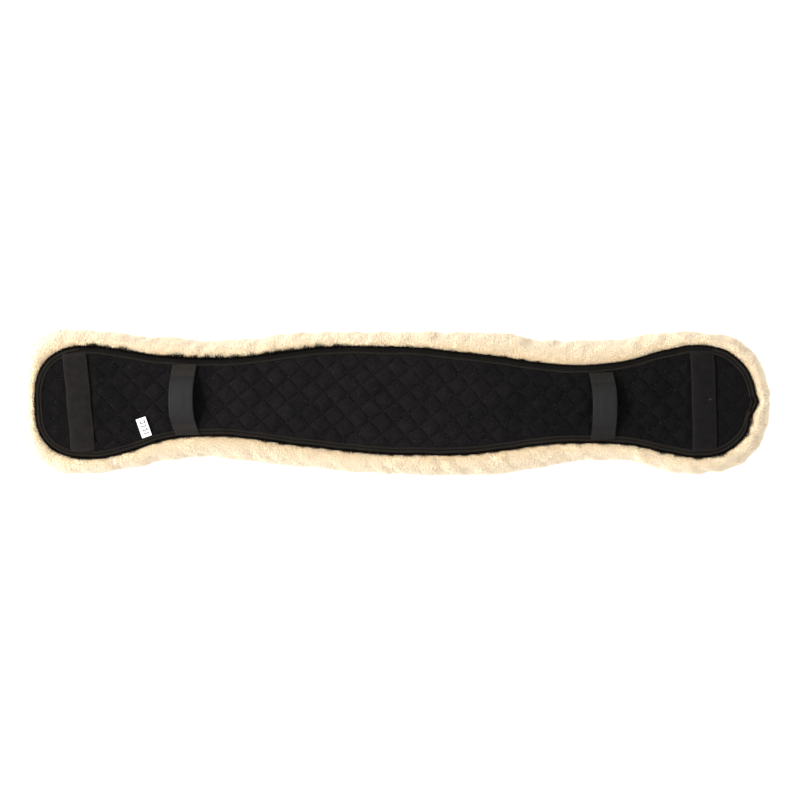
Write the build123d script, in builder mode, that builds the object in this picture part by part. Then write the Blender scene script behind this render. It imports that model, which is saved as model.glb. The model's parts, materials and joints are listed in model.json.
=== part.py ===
from build123d import *
from math import atan, atan2, ceil, cos, degrees, hypot, radians, sin, sqrt
import os

# Girth cover: a quilted cotton pad bound with tape and backed by a thick fleece lining. Two webbing
# loops hold the girth against the pad, and a hook strip near each end keeps it from creeping.
# Millimetres. X runs along the cover, Y across it and Z up; the fleece lies on the plane Z = 0, with
# the middle of the cover on the origin.

# Quilted pad, measured over its binding
pad_length = 750.0
pad_centre_width = 112.0
pad_waist_width = 81.0
pad_waist_from_end = 182.0
pad_end_radius = 58.5
backing_thickness = 0.7
wadding_thickness = 5.1
face_thickness = 0.7

# Tape folded over the pad's edge, with its two ends lapped near the right-hand end
binding_width = 7.5
binding_thickness = 0.5
binding_lap_from = -25.0
binding_lap_to = -9.0
binding_row_from_fold = 1.2
binding_row_spacing = 2.6

# Fleece lining, whose pile stands out past the pad and rises a little round it
fleece_thickness = 18.0
fleece_rim_rise = 4.0
fleece_end_margin = 13.0
fleece_round_margin = 15.0
fleece_waist_margin = 21.5
fleece_centre_margin = 18.2
fleece_edge_rounding = 8.0
fleece_seat_clearance = 0.2

# Quilting: diamonds turned a little off the pad's length, sewn over the whole open face
diamond_length = 25.0
diamond_height = 23.5
quilting_turn = -4.5
thread_width = 0.5
thread_height = 0.25

# Webbing loops
webbing_width = 25.0
webbing_thickness = 1.5
loop_from_end = 158.0
loop_edge_gap = 5.3
loop_foot_length = 8.0
loop_rise = 12.0
loop_foot_bend_radius = 8.0
tack_width = 1.6
tack_side_gap = 1.5
tack_height = 0.4
tack_from_end = (2.0, 5.5)

# Hook strips
hook_tape_width = 25.0
hook_tape_thickness = 1.0
hook_field_width = 19.0
hook_field_end_gap = 4.0
hook_field_height = 1.2
hook_strip_edge_gap = 7.0
hook_strip_from_end = {"left": 46.0, "right": 55.5}
hook_strip_tilt = {"left": 5.2, "right": 1.7}
hook_row_inset = 1.2

# Woven size label, sewn in along the binding by its lower edge and free to turn up
label_width = 10.4
label_length = 20.4
label_thickness = 0.4
label_from_end = 117.5
label_tilt = 19.3
label_underside_gap = 0.3
label_hinge_gap = 0.4
label_stitch_gap = 0.8

# Heights of the layers
pad_bottom = fleece_thickness
pad_top = pad_bottom + backing_thickness + wadding_thickness + face_thickness
trim_bottom = pad_top + 2 * thread_height
sides = {"left": -1, "right": 1}


class PadOutline:
    """A long pad with round ends, two waists and a full middle, drawn with arcs tangent to each other."""

    def __init__(self, length, centre_width, waist_width, waist_from_end, end_radius):
        self.end_radius = end_radius
        self.end_x = length / 2 - end_radius
        self.waist_x = length / 2 - waist_from_end
        half_waist, half_centre = waist_width / 2, centre_width / 2
        reach = self.end_x - self.waist_x
        # the waist's arc has its lowest point at the waist and runs into the round end
        self.waist_radius = (reach**2 + half_waist**2 - end_radius**2) / (2 * (end_radius - half_waist))
        self.waist_y = half_waist + self.waist_radius
        # the middle's arc has its highest point at the centre and runs into the waist's arc
        fullness = half_centre - half_waist
        self.centre_radius = (self.waist_x**2 + fullness**2) / (2 * fullness) - self.waist_radius
        self.centre_y = half_centre - self.centre_radius

    def half_width(self, x):
        """Half the pad's width at x, which lies on the waist's arc or on the round end."""
        x = abs(x)
        on_waist = x < self.end_x - self.end_radius * (self.end_x - self.waist_x) / (
            self.waist_radius + self.end_radius
        )
        if on_waist:
            return self.waist_y - sqrt(self.waist_radius**2 - (x - self.waist_x) ** 2)
        return sqrt(self.end_radius**2 - (x - self.end_x) ** 2)

    def face(self, inset=0.0):
        """The outline's flat face, drawn in by inset all round."""
        centre_radius = self.centre_radius - inset
        waist_radius = self.waist_radius + inset
        end_radius = self.end_radius - inset
        centre_turn = atan2(self.waist_x, self.waist_y - self.centre_y)
        end_turn = atan2(self.end_x - self.waist_x, self.waist_y)
        with BuildSketch(mode=Mode.PRIVATE) as sketch:
            with BuildLine():
                CenterArc((0, self.centre_y), centre_radius, 90 - degrees(centre_turn), degrees(centre_turn))
                CenterArc(
                    (self.waist_x, self.waist_y),
                    waist_radius,
                    270 - degrees(centre_turn),
                    degrees(centre_turn + end_turn),
                )
                CenterArc((self.end_x, 0), end_radius, 0, 90 + degrees(end_turn))
                mirror(about=Plane.YZ)
                mirror(about=Plane.XZ)
            make_face()
        return sketch.sketch


pad = PadOutline(pad_length, pad_centre_width, pad_waist_width, pad_waist_from_end, pad_end_radius)
fleece = PadOutline(
    pad_length + 2 * fleece_end_margin,
    pad_centre_width + 2 * fleece_centre_margin,
    pad_waist_width + 2 * fleece_waist_margin,
    pad_waist_from_end + fleece_end_margin,
    pad_end_radius + fleece_round_margin,
)
pad_face = pad.face()
cloth_face = pad.face(binding_thickness)
open_face = pad.face(binding_width)


def save(part, name):
    """Label a finished piece and write its STEP file."""
    part.label = name
    export_step(part, f"parts/{name}.step")


def layer(bottom, top, lift=0.0, drop=0.0):
    """One layer of the pad, full height inside the binding and thinner where the tape grips it."""
    with BuildPart() as cloth:
        with BuildSketch(Plane.XY.offset(bottom)):
            add(open_face)
        extrude(amount=top - bottom)
        with BuildSketch(Plane.XY.offset(bottom + lift)):
            add(cloth_face)
            add(open_face, mode=Mode.SUBTRACT)
        extrude(amount=top - drop - bottom - lift)
    return cloth.part


def fleece_lining():
    """The fleece, with a seat that the quilted pad is sewn down in."""
    with BuildPart() as lining:
        with BuildSketch():
            add(fleece.face())
        extrude(amount=fleece_thickness + fleece_rim_rise)
        rim_edges = lining.edges().group_by(Axis.Z)[0] + lining.edges().group_by(Axis.Z)[-1]
        fillet(rim_edges, radius=fleece_edge_rounding)
        with BuildSketch(Plane.XY.offset(pad_bottom)):
            add(pad.face(-fleece_seat_clearance))
        extrude(amount=fleece_rim_rise, mode=Mode.SUBTRACT)
    return lining.part


def edge_binding():
    """Tape folded round the pad's edge, lapped over itself where its two ends meet."""
    with BuildPart() as binding:
        with BuildSketch(Plane.XY.offset(pad_bottom)):
            add(pad_face)
        extrude(amount=pad_top - pad_bottom)
        with BuildSketch(Plane.XY.offset(pad_bottom + binding_thickness)):
            add(cloth_face)
        extrude(amount=pad_top - pad_bottom - 2 * binding_thickness, mode=Mode.SUBTRACT)
        with BuildSketch(Plane.XY.offset(pad_bottom)):
            add(open_face)
        extrude(amount=pad_top - pad_bottom, mode=Mode.SUBTRACT)
        with BuildSketch(Plane.XY.offset(pad_top)):
            with Locations((pad_length / 2, (binding_lap_from + binding_lap_to) / 2)):
                Rectangle(2 * pad_end_radius, binding_lap_to - binding_lap_from)
            add(pad_face, mode=Mode.INTERSECT)
            add(open_face, mode=Mode.SUBTRACT)
        extrude(amount=binding_thickness)
    return binding.part


def binding_thread():
    """Two rows of stitching that run round the binding near its folded inner edge."""
    with BuildPart() as thread:
        for row in range(2):
            inset = binding_width - binding_row_from_fold - row * binding_row_spacing
            with BuildSketch(Plane.XY.offset(pad_top)):
                add(pad.face(inset - thread_width / 2))
                add(pad.face(inset + thread_width / 2), mode=Mode.SUBTRACT)
                with Locations((pad_length / 2, (binding_lap_from + binding_lap_to) / 2)):
                    Rectangle(2 * pad_end_radius, binding_lap_to - binding_lap_from, mode=Mode.SUBTRACT)
            extrude(amount=thread_height)
    return thread.part


def quilting_thread(direction, bottom):
    """Parallel rows of quilting; direction is 1 for the rows that rise to the right and -1 for the others."""
    slope = degrees(atan(diamond_height / diamond_length))
    heading = quilting_turn + direction * slope
    spacing = diamond_length * sin(radians(slope))
    reach = hypot(pad_length, pad_centre_width)
    rows = ceil(reach / 2 / spacing)
    with BuildPart() as thread:
        with BuildSketch(Plane.XY.offset(bottom)):
            for row in range(-rows, rows + 1):
                across = radians(heading + 90)
                with Locations((row * spacing * cos(across), row * spacing * sin(across))):
                    Rectangle(reach, thread_width, rotation=heading)
            add(open_face, mode=Mode.INTERSECT)
        extrude(amount=thread_height)
    return thread.part


def loop_x(side):
    """Where a webbing loop's middle lies along the cover."""
    return sides[side] * (pad_length / 2 - loop_from_end)


def loop_half_span(side):
    """Half the distance between a loop's two sewn ends."""
    return pad.half_width(loop_x(side)) - loop_edge_gap


def loop_strap(side):
    """Webbing sewn down at both ends, with a slack arch that the girth passes under."""
    half_span = loop_half_span(side)
    half_arch = half_span - loop_foot_length
    turn = 2 * degrees(atan(loop_rise / half_arch))
    crown_radius = half_arch / sin(radians(turn)) - loop_foot_bend_radius
    with BuildPart() as strap:
        with BuildLine(Plane.YZ.offset(loop_x(side))) as path:
            start = (-half_span, trim_bottom + webbing_thickness / 2)
            foot = Line(start, (start[0] + loop_foot_length, start[1]))
            rise = JernArc(foot @ 1, foot % 1, loop_foot_bend_radius, turn)
            crown = JernArc(rise @ 1, rise % 1, crown_radius, -2 * turn)
            fall = JernArc(crown @ 1, crown % 1, loop_foot_bend_radius, turn)
            Line(fall @ 1, (half_span, start[1]))
        with BuildSketch(Plane(origin=path.line @ 0, x_dir=(1, 0, 0), z_dir=path.line % 0)):
            Rectangle(webbing_width, webbing_thickness)
        sweep()
    return strap.part


def loop_tacks(side):
    """Bar tacks that sew a loop's ends down."""
    with BuildPart() as tacks:
        with BuildSketch(Plane.XY.offset(trim_bottom + webbing_thickness)):
            for end in (-1, 1):
                for gap in tack_from_end:
                    with Locations((loop_x(side), end * (loop_half_span(side) - gap))):
                        Rectangle(webbing_width - 2 * tack_side_gap, tack_width)
        extrude(amount=tack_height)
    return tacks.part


def hook_strip_plane(side, height):
    """Plane of a hook strip: X across the tape, Y along it."""
    x = sides[side] * (pad_length / 2 - hook_strip_from_end[side])
    return Plane(origin=(x, 0, height), z_dir=(0, 0, 1)).rotated((0, 0, hook_strip_tilt[side]))


def hook_strip_length(side):
    """Length of a hook strip, which reaches onto the binding at both ends."""
    x = pad_length / 2 - hook_strip_from_end[side]
    return 2 * (pad.half_width(x) - hook_strip_edge_gap)


def hook_strip(side):
    """Woven tape with a raised field of hooks between its plain edges."""
    length = hook_strip_length(side)
    with BuildPart() as strip:
        with BuildSketch(hook_strip_plane(side, trim_bottom)):
            Rectangle(hook_tape_width, length)
        extrude(amount=hook_tape_thickness)
        with BuildSketch(hook_strip_plane(side, trim_bottom + hook_tape_thickness)):
            Rectangle(hook_field_width, length - 2 * hook_field_end_gap)
        extrude(amount=hook_field_height)
    return strip.part


def hook_strip_thread(side):
    """One row of stitching round a hook strip's plain edge."""
    width = hook_tape_width - 2 * hook_row_inset
    length = hook_strip_length(side) - 2 * hook_row_inset
    with BuildPart() as thread:
        with BuildSketch(hook_strip_plane(side, trim_bottom + hook_tape_thickness)):
            Rectangle(width + thread_width, length + thread_width)
            Rectangle(width - thread_width, length - thread_width, mode=Mode.SUBTRACT)
        extrude(amount=thread_height)
    return thread.part


def label_plane(height):
    """Plane of the size label: origin on its sewn edge, X along that edge, Y towards its free end."""
    x = -(pad_length / 2 - label_from_end)
    y = -(pad.half_width(x) - binding_width)
    return Plane(origin=(x, y, height), z_dir=(0, 0, 1)).rotated((0, 0, label_tilt))


def size_label():
    """The label's free flap, lying on the pad."""
    with BuildPart() as label:
        with BuildSketch(label_plane(trim_bottom + label_underside_gap)):
            with Locations((0, label_hinge_gap + label_length / 2)):
                Rectangle(label_width, label_length)
        extrude(amount=label_thickness)
    return label.part


def label_thread():
    """The stitches that hold the label's lower edge in the binding."""
    with BuildPart() as thread:
        with BuildSketch(label_plane(pad_top + thread_height)):
            with Locations((0, -label_stitch_gap)):
                Rectangle(label_width, thread_width)
        extrude(amount=thread_height)
    return thread.part


os.makedirs("parts", exist_ok=True)
save(fleece_lining(), "fleece_lining")
save(layer(pad_bottom, pad_bottom + backing_thickness, binding_thickness, -binding_thickness), "backing_cloth")
save(
    layer(pad_bottom + backing_thickness, pad_top - face_thickness, binding_thickness, binding_thickness),
    "wadding_core",
)
save(layer(pad_top - face_thickness, pad_top, -binding_thickness, binding_thickness), "quilt_face")
save(edge_binding(), "edge_binding")
save(binding_thread(), "binding_thread")
save(quilting_thread(1, pad_top), "quilting_thread_rising")
save(quilting_thread(-1, pad_top + thread_height), "quilting_thread_falling")
for side in sides:
    save(loop_strap(side), f"loop_strap_{side}")
    save(loop_tacks(side), f"loop_tacks_{side}")
    save(hook_strip(side), f"hook_strip_{side}")
    save(hook_strip_thread(side), f"hook_strip_thread_{side}")
save(size_label(), "size_label")
save(label_thread(), "label_thread")
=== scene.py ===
import json
import logging
import math
from dataclasses import dataclass, field, replace
from enum import Enum
from functools import reduce
from typing import Callable, Iterable, Sequence

import bmesh
import bpy
import numpy as np
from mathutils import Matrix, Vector
from mathutils.kdtree import KDTree


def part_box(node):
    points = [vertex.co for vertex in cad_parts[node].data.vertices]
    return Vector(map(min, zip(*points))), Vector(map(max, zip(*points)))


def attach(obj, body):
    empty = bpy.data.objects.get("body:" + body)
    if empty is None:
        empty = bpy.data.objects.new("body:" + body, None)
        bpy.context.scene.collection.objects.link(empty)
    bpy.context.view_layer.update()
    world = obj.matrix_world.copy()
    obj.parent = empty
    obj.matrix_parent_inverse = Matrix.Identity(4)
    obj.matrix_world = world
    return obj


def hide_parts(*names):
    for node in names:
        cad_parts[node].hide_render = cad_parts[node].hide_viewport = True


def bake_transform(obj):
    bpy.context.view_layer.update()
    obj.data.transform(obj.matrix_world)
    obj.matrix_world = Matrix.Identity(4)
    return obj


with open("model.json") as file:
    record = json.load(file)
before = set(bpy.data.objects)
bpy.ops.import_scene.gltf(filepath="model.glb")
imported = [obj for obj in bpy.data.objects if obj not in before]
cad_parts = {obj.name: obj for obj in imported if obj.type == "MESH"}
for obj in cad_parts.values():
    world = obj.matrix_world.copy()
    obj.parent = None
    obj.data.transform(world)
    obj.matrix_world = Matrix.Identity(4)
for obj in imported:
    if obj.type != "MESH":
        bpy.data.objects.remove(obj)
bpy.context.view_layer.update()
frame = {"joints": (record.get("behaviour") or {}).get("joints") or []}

COVER = "cover"
LOG = logging.getLogger("girth_cover")
Array = np.ndarray


class Side(Enum):
    """The cover's two ends."""

    LEFT = -1
    RIGHT = 1

    @property
    def word(self) -> str:
        """The end's name, as the pieces use it."""
        return self.name.lower()


# ---------------------------------------------------------------------------------------------
# Unevenness and plain mesh making


@dataclass(frozen=True)
class Ripple:
    """Smooth, repeatable unevenness: a sum of waves that run in random directions."""

    wavelength: float
    seed: int
    waves: int = 10

    def __call__(self, x: Array, y: Array) -> Array:
        """The unevenness at each place.

        Args:
            x: places along X, in metres.
            y: places along Y, in metres.

        Returns:
            Values that lie mostly between -1 and 1.
        """
        chance = np.random.default_rng(self.seed)
        total = np.zeros(np.broadcast(x, y).shape)
        for _ in range(self.waves):
            heading = chance.uniform(0, 2 * math.pi)
            turns = 2 * math.pi / (self.wavelength * chance.uniform(0.7, 1.4))
            phase = chance.uniform(0, 2 * math.pi)
            total += np.sin(turns * (x * math.cos(heading) + y * math.sin(heading)) + phase)
        return total / math.sqrt(self.waves)


def smooth(low: float, high: float, value: Array) -> Array:
    """A soft step from 0 at low to 1 at high."""
    t = np.clip((value - low) / (high - low), 0.0, 1.0)
    return t * t * (3 - 2 * t)


def stack(x: Array, y: Array, z: Array) -> Array:
    """Points from their three coordinates, with single numbers spread over all of them."""
    return np.stack(np.broadcast_arrays(x, y, z), axis=-1).astype(float)


def make_object(name: str, points: Array, faces: Sequence, edges: Sequence = ()) -> bpy.types.Object:
    """A mesh object at the origin with smooth faces.

    Args:
        name: the object's name.
        points: its vertices, in metres.
        faces: its faces, as vertex numbers.
        edges: its loose edges, where it is a set of lines.

    Returns:
        The object, linked to the scene.
    """
    mesh = bpy.data.meshes.new(name)
    mesh.from_pydata(points.reshape(-1, 3).tolist(), list(edges), list(faces))
    mesh.polygons.foreach_set("use_smooth", [True] * len(mesh.polygons))
    mesh.update()
    made = bpy.data.objects.new(name, mesh)
    bpy.context.scene.collection.objects.link(made)
    return made


def close_up(made: bpy.types.Object, gap: float = 1e-6) -> bpy.types.Object:
    """Merge a closed mesh's doubled points and turn its faces outwards."""
    work = bmesh.new()
    work.from_mesh(made.data)
    bmesh.ops.remove_doubles(work, verts=work.verts, dist=gap)
    bmesh.ops.dissolve_degenerate(work, edges=work.edges, dist=gap)
    bmesh.ops.recalc_face_normals(work, faces=work.faces)
    work.to_mesh(made.data)
    work.free()
    made.data.update()
    return made


def lattice(rings: int, around: int, closed_rings: bool = False, closed_around: bool = True) -> list:
    """Faces of a grid of rings, joined in order and, where asked, back to the first."""
    faces = []
    for ring in range(rings if closed_rings else rings - 1):
        low, high = ring * around, (ring + 1) % rings * around
        for step in range(around if closed_around else around - 1):
            after = (step + 1) % around
            faces.append((low + step, low + after, high + after, high + step))
    return faces


def tube(rings: int, around: int) -> list:
    """Faces of a row of closed rings, with a cap at each end."""
    last = (rings - 1) * around
    return [*lattice(rings, around), tuple(range(around)), tuple(range(last, last + around))]


def chain(count: int, closed: bool = False) -> list:
    """Edges that join points in order and, where asked, back to the first."""
    return [(i, (i + 1) % count) for i in range(count if closed else count - 1)]


def evenly(line: Array, count: int) -> Array:
    """Evenly spaced points along a line in the plane, from its start to its end."""
    leg = np.concatenate([[0], np.cumsum(np.linalg.norm(np.diff(line, axis=0), axis=1))])
    walk = np.linspace(0, leg[-1], count)
    return np.stack([np.interp(walk, leg, line[:, i]) for i in (0, 1)], -1)


def set_attribute(made: bpy.types.Object, name: str, values: Array) -> None:
    """Write a number or a vector for each vertex as a named attribute."""
    is_vector = values.ndim == 2
    attribute = made.data.attributes.new(name, "FLOAT_VECTOR" if is_vector else "FLOAT", "POINT")
    attribute.data.foreach_set("vector" if is_vector else "value", values.astype(np.float32).ravel())


def join_objects(name: str, parts: Sequence[bpy.types.Object]) -> bpy.types.Object:
    """Join objects into the first one and give it a name."""
    chosen = {"selected_editable_objects": list(parts), "selected_objects": list(parts)}
    with bpy.context.temp_override(active_object=parts[0], object=parts[0], **chosen):
        bpy.ops.object.join()
    parts[0].name = name
    parts[0].data.name = name
    return parts[0]


# ---------------------------------------------------------------------------------------------
# Shader maths and the base of every finish


class Signal:
    """A shader socket whose arithmetic adds Math nodes."""

    def __init__(self, maker: "ShaderMaker", socket: bpy.types.NodeSocket) -> None:
        """Wrap a socket of the material that maker builds."""
        self.maker = maker
        self.socket = socket

    def _math(self, operation: str, first: object, second: object) -> "Signal":
        """Add a Math node on two values."""
        return self.maker.node("ShaderNodeMath", {"operation": operation}, {0: first, 1: second})

    def __add__(self, other: object) -> "Signal":
        """Sum."""
        return self._math("ADD", self, other)

    __radd__ = __add__

    def __sub__(self, other: object) -> "Signal":
        """Difference."""
        return self._math("SUBTRACT", self, other)

    def __rsub__(self, other: object) -> "Signal":
        """Difference, from the left-hand value."""
        return self._math("SUBTRACT", other, self)

    def __mul__(self, other: object) -> "Signal":
        """Product."""
        return self._math("MULTIPLY", self, other)

    __rmul__ = __mul__

    def to_nearest(self) -> "Signal":
        """The distance to the nearest whole number, from 0 to 0.5."""
        return self._math("PINGPONG", self, 0.5)

    def step(self, low: float, high: float) -> "Signal":
        """A soft step from 0 at low to 1 at high."""
        inputs = {"Value": self, "From Min": low, "From Max": high, "To Min": 0.0, "To Max": 1.0}
        return self.maker.node("ShaderNodeMapRange", {"interpolation_type": "SMOOTHSTEP"}, inputs)


class ShaderMaker:
    """Builds one material round a Principled shader."""

    # the Wave Texture node turns this many radians over one unit at scale 1
    WAVE_TURNS = 20.0

    def __init__(self, name: str, roughness: float, specular: float, sheen: float = 0.0) -> None:
        """Start a material.

        Args:
            name: the material's name.
            roughness: its roughness, where nothing varies it.
            specular: its specular level.
            sheen: its sheen weight.
        """
        self.material = bpy.data.materials.new(name)
        self.material.use_nodes = True
        self.tree = self.material.node_tree
        self.shader = self.tree.nodes["Principled BSDF"]
        self.shader.inputs["Roughness"].default_value = roughness
        self.shader.inputs["Specular IOR Level"].default_value = specular
        self.shader.inputs["Sheen Weight"].default_value = sheen
        self.place = self.node("ShaderNodeTexCoord", output="Object")

    def node(self, kind: str, settings: dict = {}, inputs: dict = {}, output: object = 0) -> Signal:
        """Add a node.

        Args:
            kind: the node's type.
            settings: its own settings, such as a Math node's operation.
            inputs: values or signals for its sockets, by name or number.
            output: the output wanted, by name or number.

        Returns:
            That output.
        """
        made = self.tree.nodes.new(kind)
        for name, value in settings.items():
            setattr(made, name, value)
        for key, value in inputs.items():
            if isinstance(value, Signal):
                self.tree.links.new(value.socket, made.inputs[key])
            else:
                made.inputs[key].default_value = value
        return Signal(self, made.outputs[output])

    def attribute(self, name: str) -> Signal:
        """A number that the mesh carries under a name."""
        return self.node("ShaderNodeAttribute", {"attribute_name": name}, output="Fac")

    def noise(self, scale: float, detail: float = 3.0) -> Signal:
        """Cloudy noise, about 0.5 on average, with scale cells to the metre."""
        inputs = {"Vector": self.place, "Scale": scale, "Detail": detail}
        return self.node("ShaderNodeTexNoise", {}, inputs, "Fac")

    def bands(self, pitch: float, heading: float = 0.0, along: str = "X") -> Signal:
        """Waves of a given pitch whose crests are turned by heading about Z, in radians."""
        turned = {"Vector": self.place, "Rotation": (0.0, 0.0, heading)}
        place = self.node("ShaderNodeMapping", {}, turned)
        inputs = {"Vector": place, "Scale": 2 * math.pi / pitch / self.WAVE_TURNS}
        return self.node("ShaderNodeTexWave", {"bands_direction": along}, inputs, "Fac")

    def blend(self, share: object, first: object, second: object) -> Signal:
        """Mix two colours."""
        a, b = ((*c, 1.0) if isinstance(c, tuple) else c for c in (first, second))
        return self.node("ShaderNodeMix", {"data_type": "RGBA"}, {"Factor": share, 6: a, 7: b}, 2)

    def finish(
        self, colour: object, height: object = None, depth: float = 0.001, roughness: object = None
    ) -> bpy.types.Material:
        """Connect the colour, the relief and, where it varies, the roughness.

        Args:
            colour: the base colour.
            height: the relief, from 0 to 1.
            depth: how far the relief's full height stands, in metres.
            roughness: the roughness, where it varies.

        Returns:
            The finished material.
        """
        self.tree.links.new(colour.socket, self.shader.inputs["Base Color"])
        if height is not None:
            inputs = {"Height": height, "Distance": depth, "Strength": 1.0}
            relief = self.node("ShaderNodeBump", {}, inputs, "Normal")
            self.tree.links.new(relief.socket, self.shader.inputs["Normal"])
        if roughness is not None:
            self.tree.links.new(roughness.socket, self.shader.inputs["Roughness"])
        return self.material


@dataclass(frozen=True)
class PileFinish:
    """Cream plush pile, with painted warm shade where it is deep and beside the binding, paler at its outer
    edge.
    """

    cream: tuple = (0.98, 0.865, 0.68)
    pale: tuple = (0.975, 0.86, 0.69)
    warm_shade: tuple = (0.97, 0.79, 0.52)
    roughness: float = 0.9

    def build(self) -> bpy.types.Material:
        """Make the material."""
        make = ShaderMaker("fleece_pile", self.roughness, 0.06, 0.08)
        cloud = make.noise(38.0, 2.0).step(0.35, 0.65)
        fine = make.noise(420.0, 3.0).step(0.3, 0.7)
        rim = make.attribute("rim")
        warm_shade_share = make.attribute("warm_shade") * (0.75 + fine * 0.25)
        root = 1 - make.attribute("tip")
        base = make.blend(rim * 0.8 + cloud * 0.2, self.cream, self.pale)
        # painted warm shade towards the tufts' roots
        deep = make.blend(root * 0.22, base, self.warm_shade)
        # painted warm shade beside the binding and under the cover
        return make.finish(make.blend(warm_shade_share * 0.7, deep, self.warm_shade))


@dataclass(frozen=True)
class HideFinish:
    """The fleece's skin side and the roots of its pile."""

    colour: tuple = (0.95, 0.82, 0.60)
    shade: tuple = (0.90, 0.70, 0.42)

    def build(self) -> bpy.types.Material:
        """Make the material."""
        make = ShaderMaker("fleece_ground", 0.95, 0.1, 0.2)
        patch = make.noise(60.0, 4.0).step(0.3, 0.7)
        # painted warm shade beside the binding, mixed with random patches of the hide's own tone
        share = patch * 0.35 + make.attribute("warm_shade") * 0.65
        return make.finish(make.blend(share, self.colour, self.shade), make.noise(900.0), 0.0008)


@dataclass(frozen=True)
class TwillFinish:
    """Matte cotton twill: fine diagonal ribs crossed by yarns, with painted shade along its quilting rows,
    needle holes and folds, and, where quilted, painted shade towards its ends and beside the loops.
    """

    name: str
    dark: tuple = (0.0024, 0.0021, 0.0021)
    light: tuple = (0.0096, 0.0084, 0.0086)
    rib_pitch: float = 0.0009
    roughness: float = 0.92
    is_quilted: bool = False
    stitches: int = 6
    shadow: tuple = (0.0002, 0.0002, 0.0002)
    # from where to where the painted shade of each row and each needle hole fades, in spacings of the rows
    # and stitches
    row_fade: tuple = (0.014, 0.078)
    hole_fade: tuple = (0.08, 0.26)

    def crease_shade(self, make: ShaderMaker) -> Signal:
        """Painted shade along the rows of quilting, most at their needle holes."""
        rows = make.attribute("row_a"), make.attribute("row_b")
        free = []
        for row, crossing in (rows, rows[::-1]):
            near = 1 - row.to_nearest().step(*self.row_fade)
            hole = 1 - (crossing * self.stitches).to_nearest().step(*self.hole_fade)
            free.append(1 - near * (0.45 + hole * 0.55))
        return 1 - free[0] * free[1]

    def build(self) -> bpy.types.Material:
        """Make the material."""
        make = ShaderMaker(self.name, self.roughness, 0.06)
        ribs = make.bands(self.rib_pitch, math.radians(28))
        yarns = make.bands(self.rib_pitch * 0.62, math.radians(-62))
        cloud = make.noise(45.0, 4.0).step(0.3, 0.7)
        grain = make.noise(420.0, 4.0).step(0.25, 0.75)
        fuzz = make.noise(1500.0, 2.0)
        shade = cloud * 0.30 + grain * 0.42 + ribs * 0.14 + fuzz * 0.14
        # painted shade: along the quilting's rows and needle holes, or in the binding's folds, grooves and
        # underside
        crease_shade = self.crease_shade(make) if self.is_quilted else make.attribute("crease")
        colour = make.blend(crease_shade * 0.86, make.blend(shade, self.dark, self.light), self.shadow)
        if self.is_quilted:
            # painted shade towards both ends and painted shadows just right of the loops
            colour = make.blend(make.attribute("laid"), colour, self.shadow)
        return make.finish(colour, ribs * 0.6 + yarns * 0.3 + fuzz * 0.3, 0.00018)


@dataclass(frozen=True)
class WebbingFinish:
    """Ribbed nylon webbing, a little shiny, browner near its sewn ends."""

    name: str
    grey: tuple = (0.0134, 0.0127, 0.0127)
    brown: tuple = (0.0094, 0.0066, 0.0034)
    dark: tuple = (0.0052, 0.0047, 0.0047)
    weft_pitch: float = 0.0011
    rib_pitch: float = 0.0016
    roughness: float = 0.55

    def build(self) -> bpy.types.Material:
        """Make the material."""
        make = ShaderMaker(self.name, self.roughness, 0.15)
        ribs = make.bands(self.rib_pitch)
        weft = make.bands(self.weft_pitch, along="Y")
        cloud = make.noise(160.0)
        colour = make.blend(make.attribute("foot"), self.grey, self.brown)
        darker = make.blend(ribs * 0.22 + cloud * 0.16, colour, self.dark)
        return make.finish(darker, ribs * 0.6 + weft * 0.5, 0.00022, 0.45 + cloud * 0.25)


@dataclass(frozen=True)
class HookTapeFinish:
    """Brown-black woven hook tape."""

    name: str
    dark: tuple = (0.0062, 0.0048, 0.0046)
    light: tuple = (0.0133, 0.0105, 0.0102)
    weft_pitch: float = 0.0008
    warp_pitch: float = 0.0010
    roughness: float = 0.7

    def build(self) -> bpy.types.Material:
        """Make the material."""
        make = ShaderMaker(self.name, self.roughness, 0.12)
        weft = make.bands(self.weft_pitch, along="Y")
        warp = make.bands(self.warp_pitch)
        cloud = make.noise(120.0, 4.0).step(0.3, 0.7)
        colour = make.blend(cloud * 0.6 + weft * 0.4, self.dark, self.light)
        return make.finish(colour, weft * 0.5 + warp * 0.5, 0.0002)


@dataclass(frozen=True)
class LabelFinish:
    """White woven tape with a few plain grey marks that stand for print."""

    white: tuple = (0.88, 0.87, 0.85)
    grey: tuple = (0.09, 0.09, 0.095)

    def build(self) -> bpy.types.Material:
        """Make the material."""
        make = ShaderMaker("label_tape", 0.75, 0.2, 0.05)
        colour = make.blend(make.attribute("mark"), self.white, self.grey)
        return make.finish(colour, make.noise(2600.0, 2.0), 0.00012)


@dataclass(frozen=True)
class PlainClothFinish:
    """An even cloth or thread of one colour, mottled a little."""

    name: str
    colour: tuple
    other: tuple
    cells: float = 700.0
    roughness: float = 0.8
    specular: float = 0.2
    relief: float = 0.0001

    def build(self) -> bpy.types.Material:
        """Make the material."""
        make = ShaderMaker(self.name, self.roughness, self.specular)
        grain = make.noise(self.cells)
        return make.finish(make.blend(grain.step(0.3, 0.7), self.colour, self.other), grain, self.relief)


def sides(left: object, right: object) -> dict:
    """The materials of two finishes, one for each end of the cover."""
    return {Side.LEFT: left.build(), Side.RIGHT: right.build()}


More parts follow.
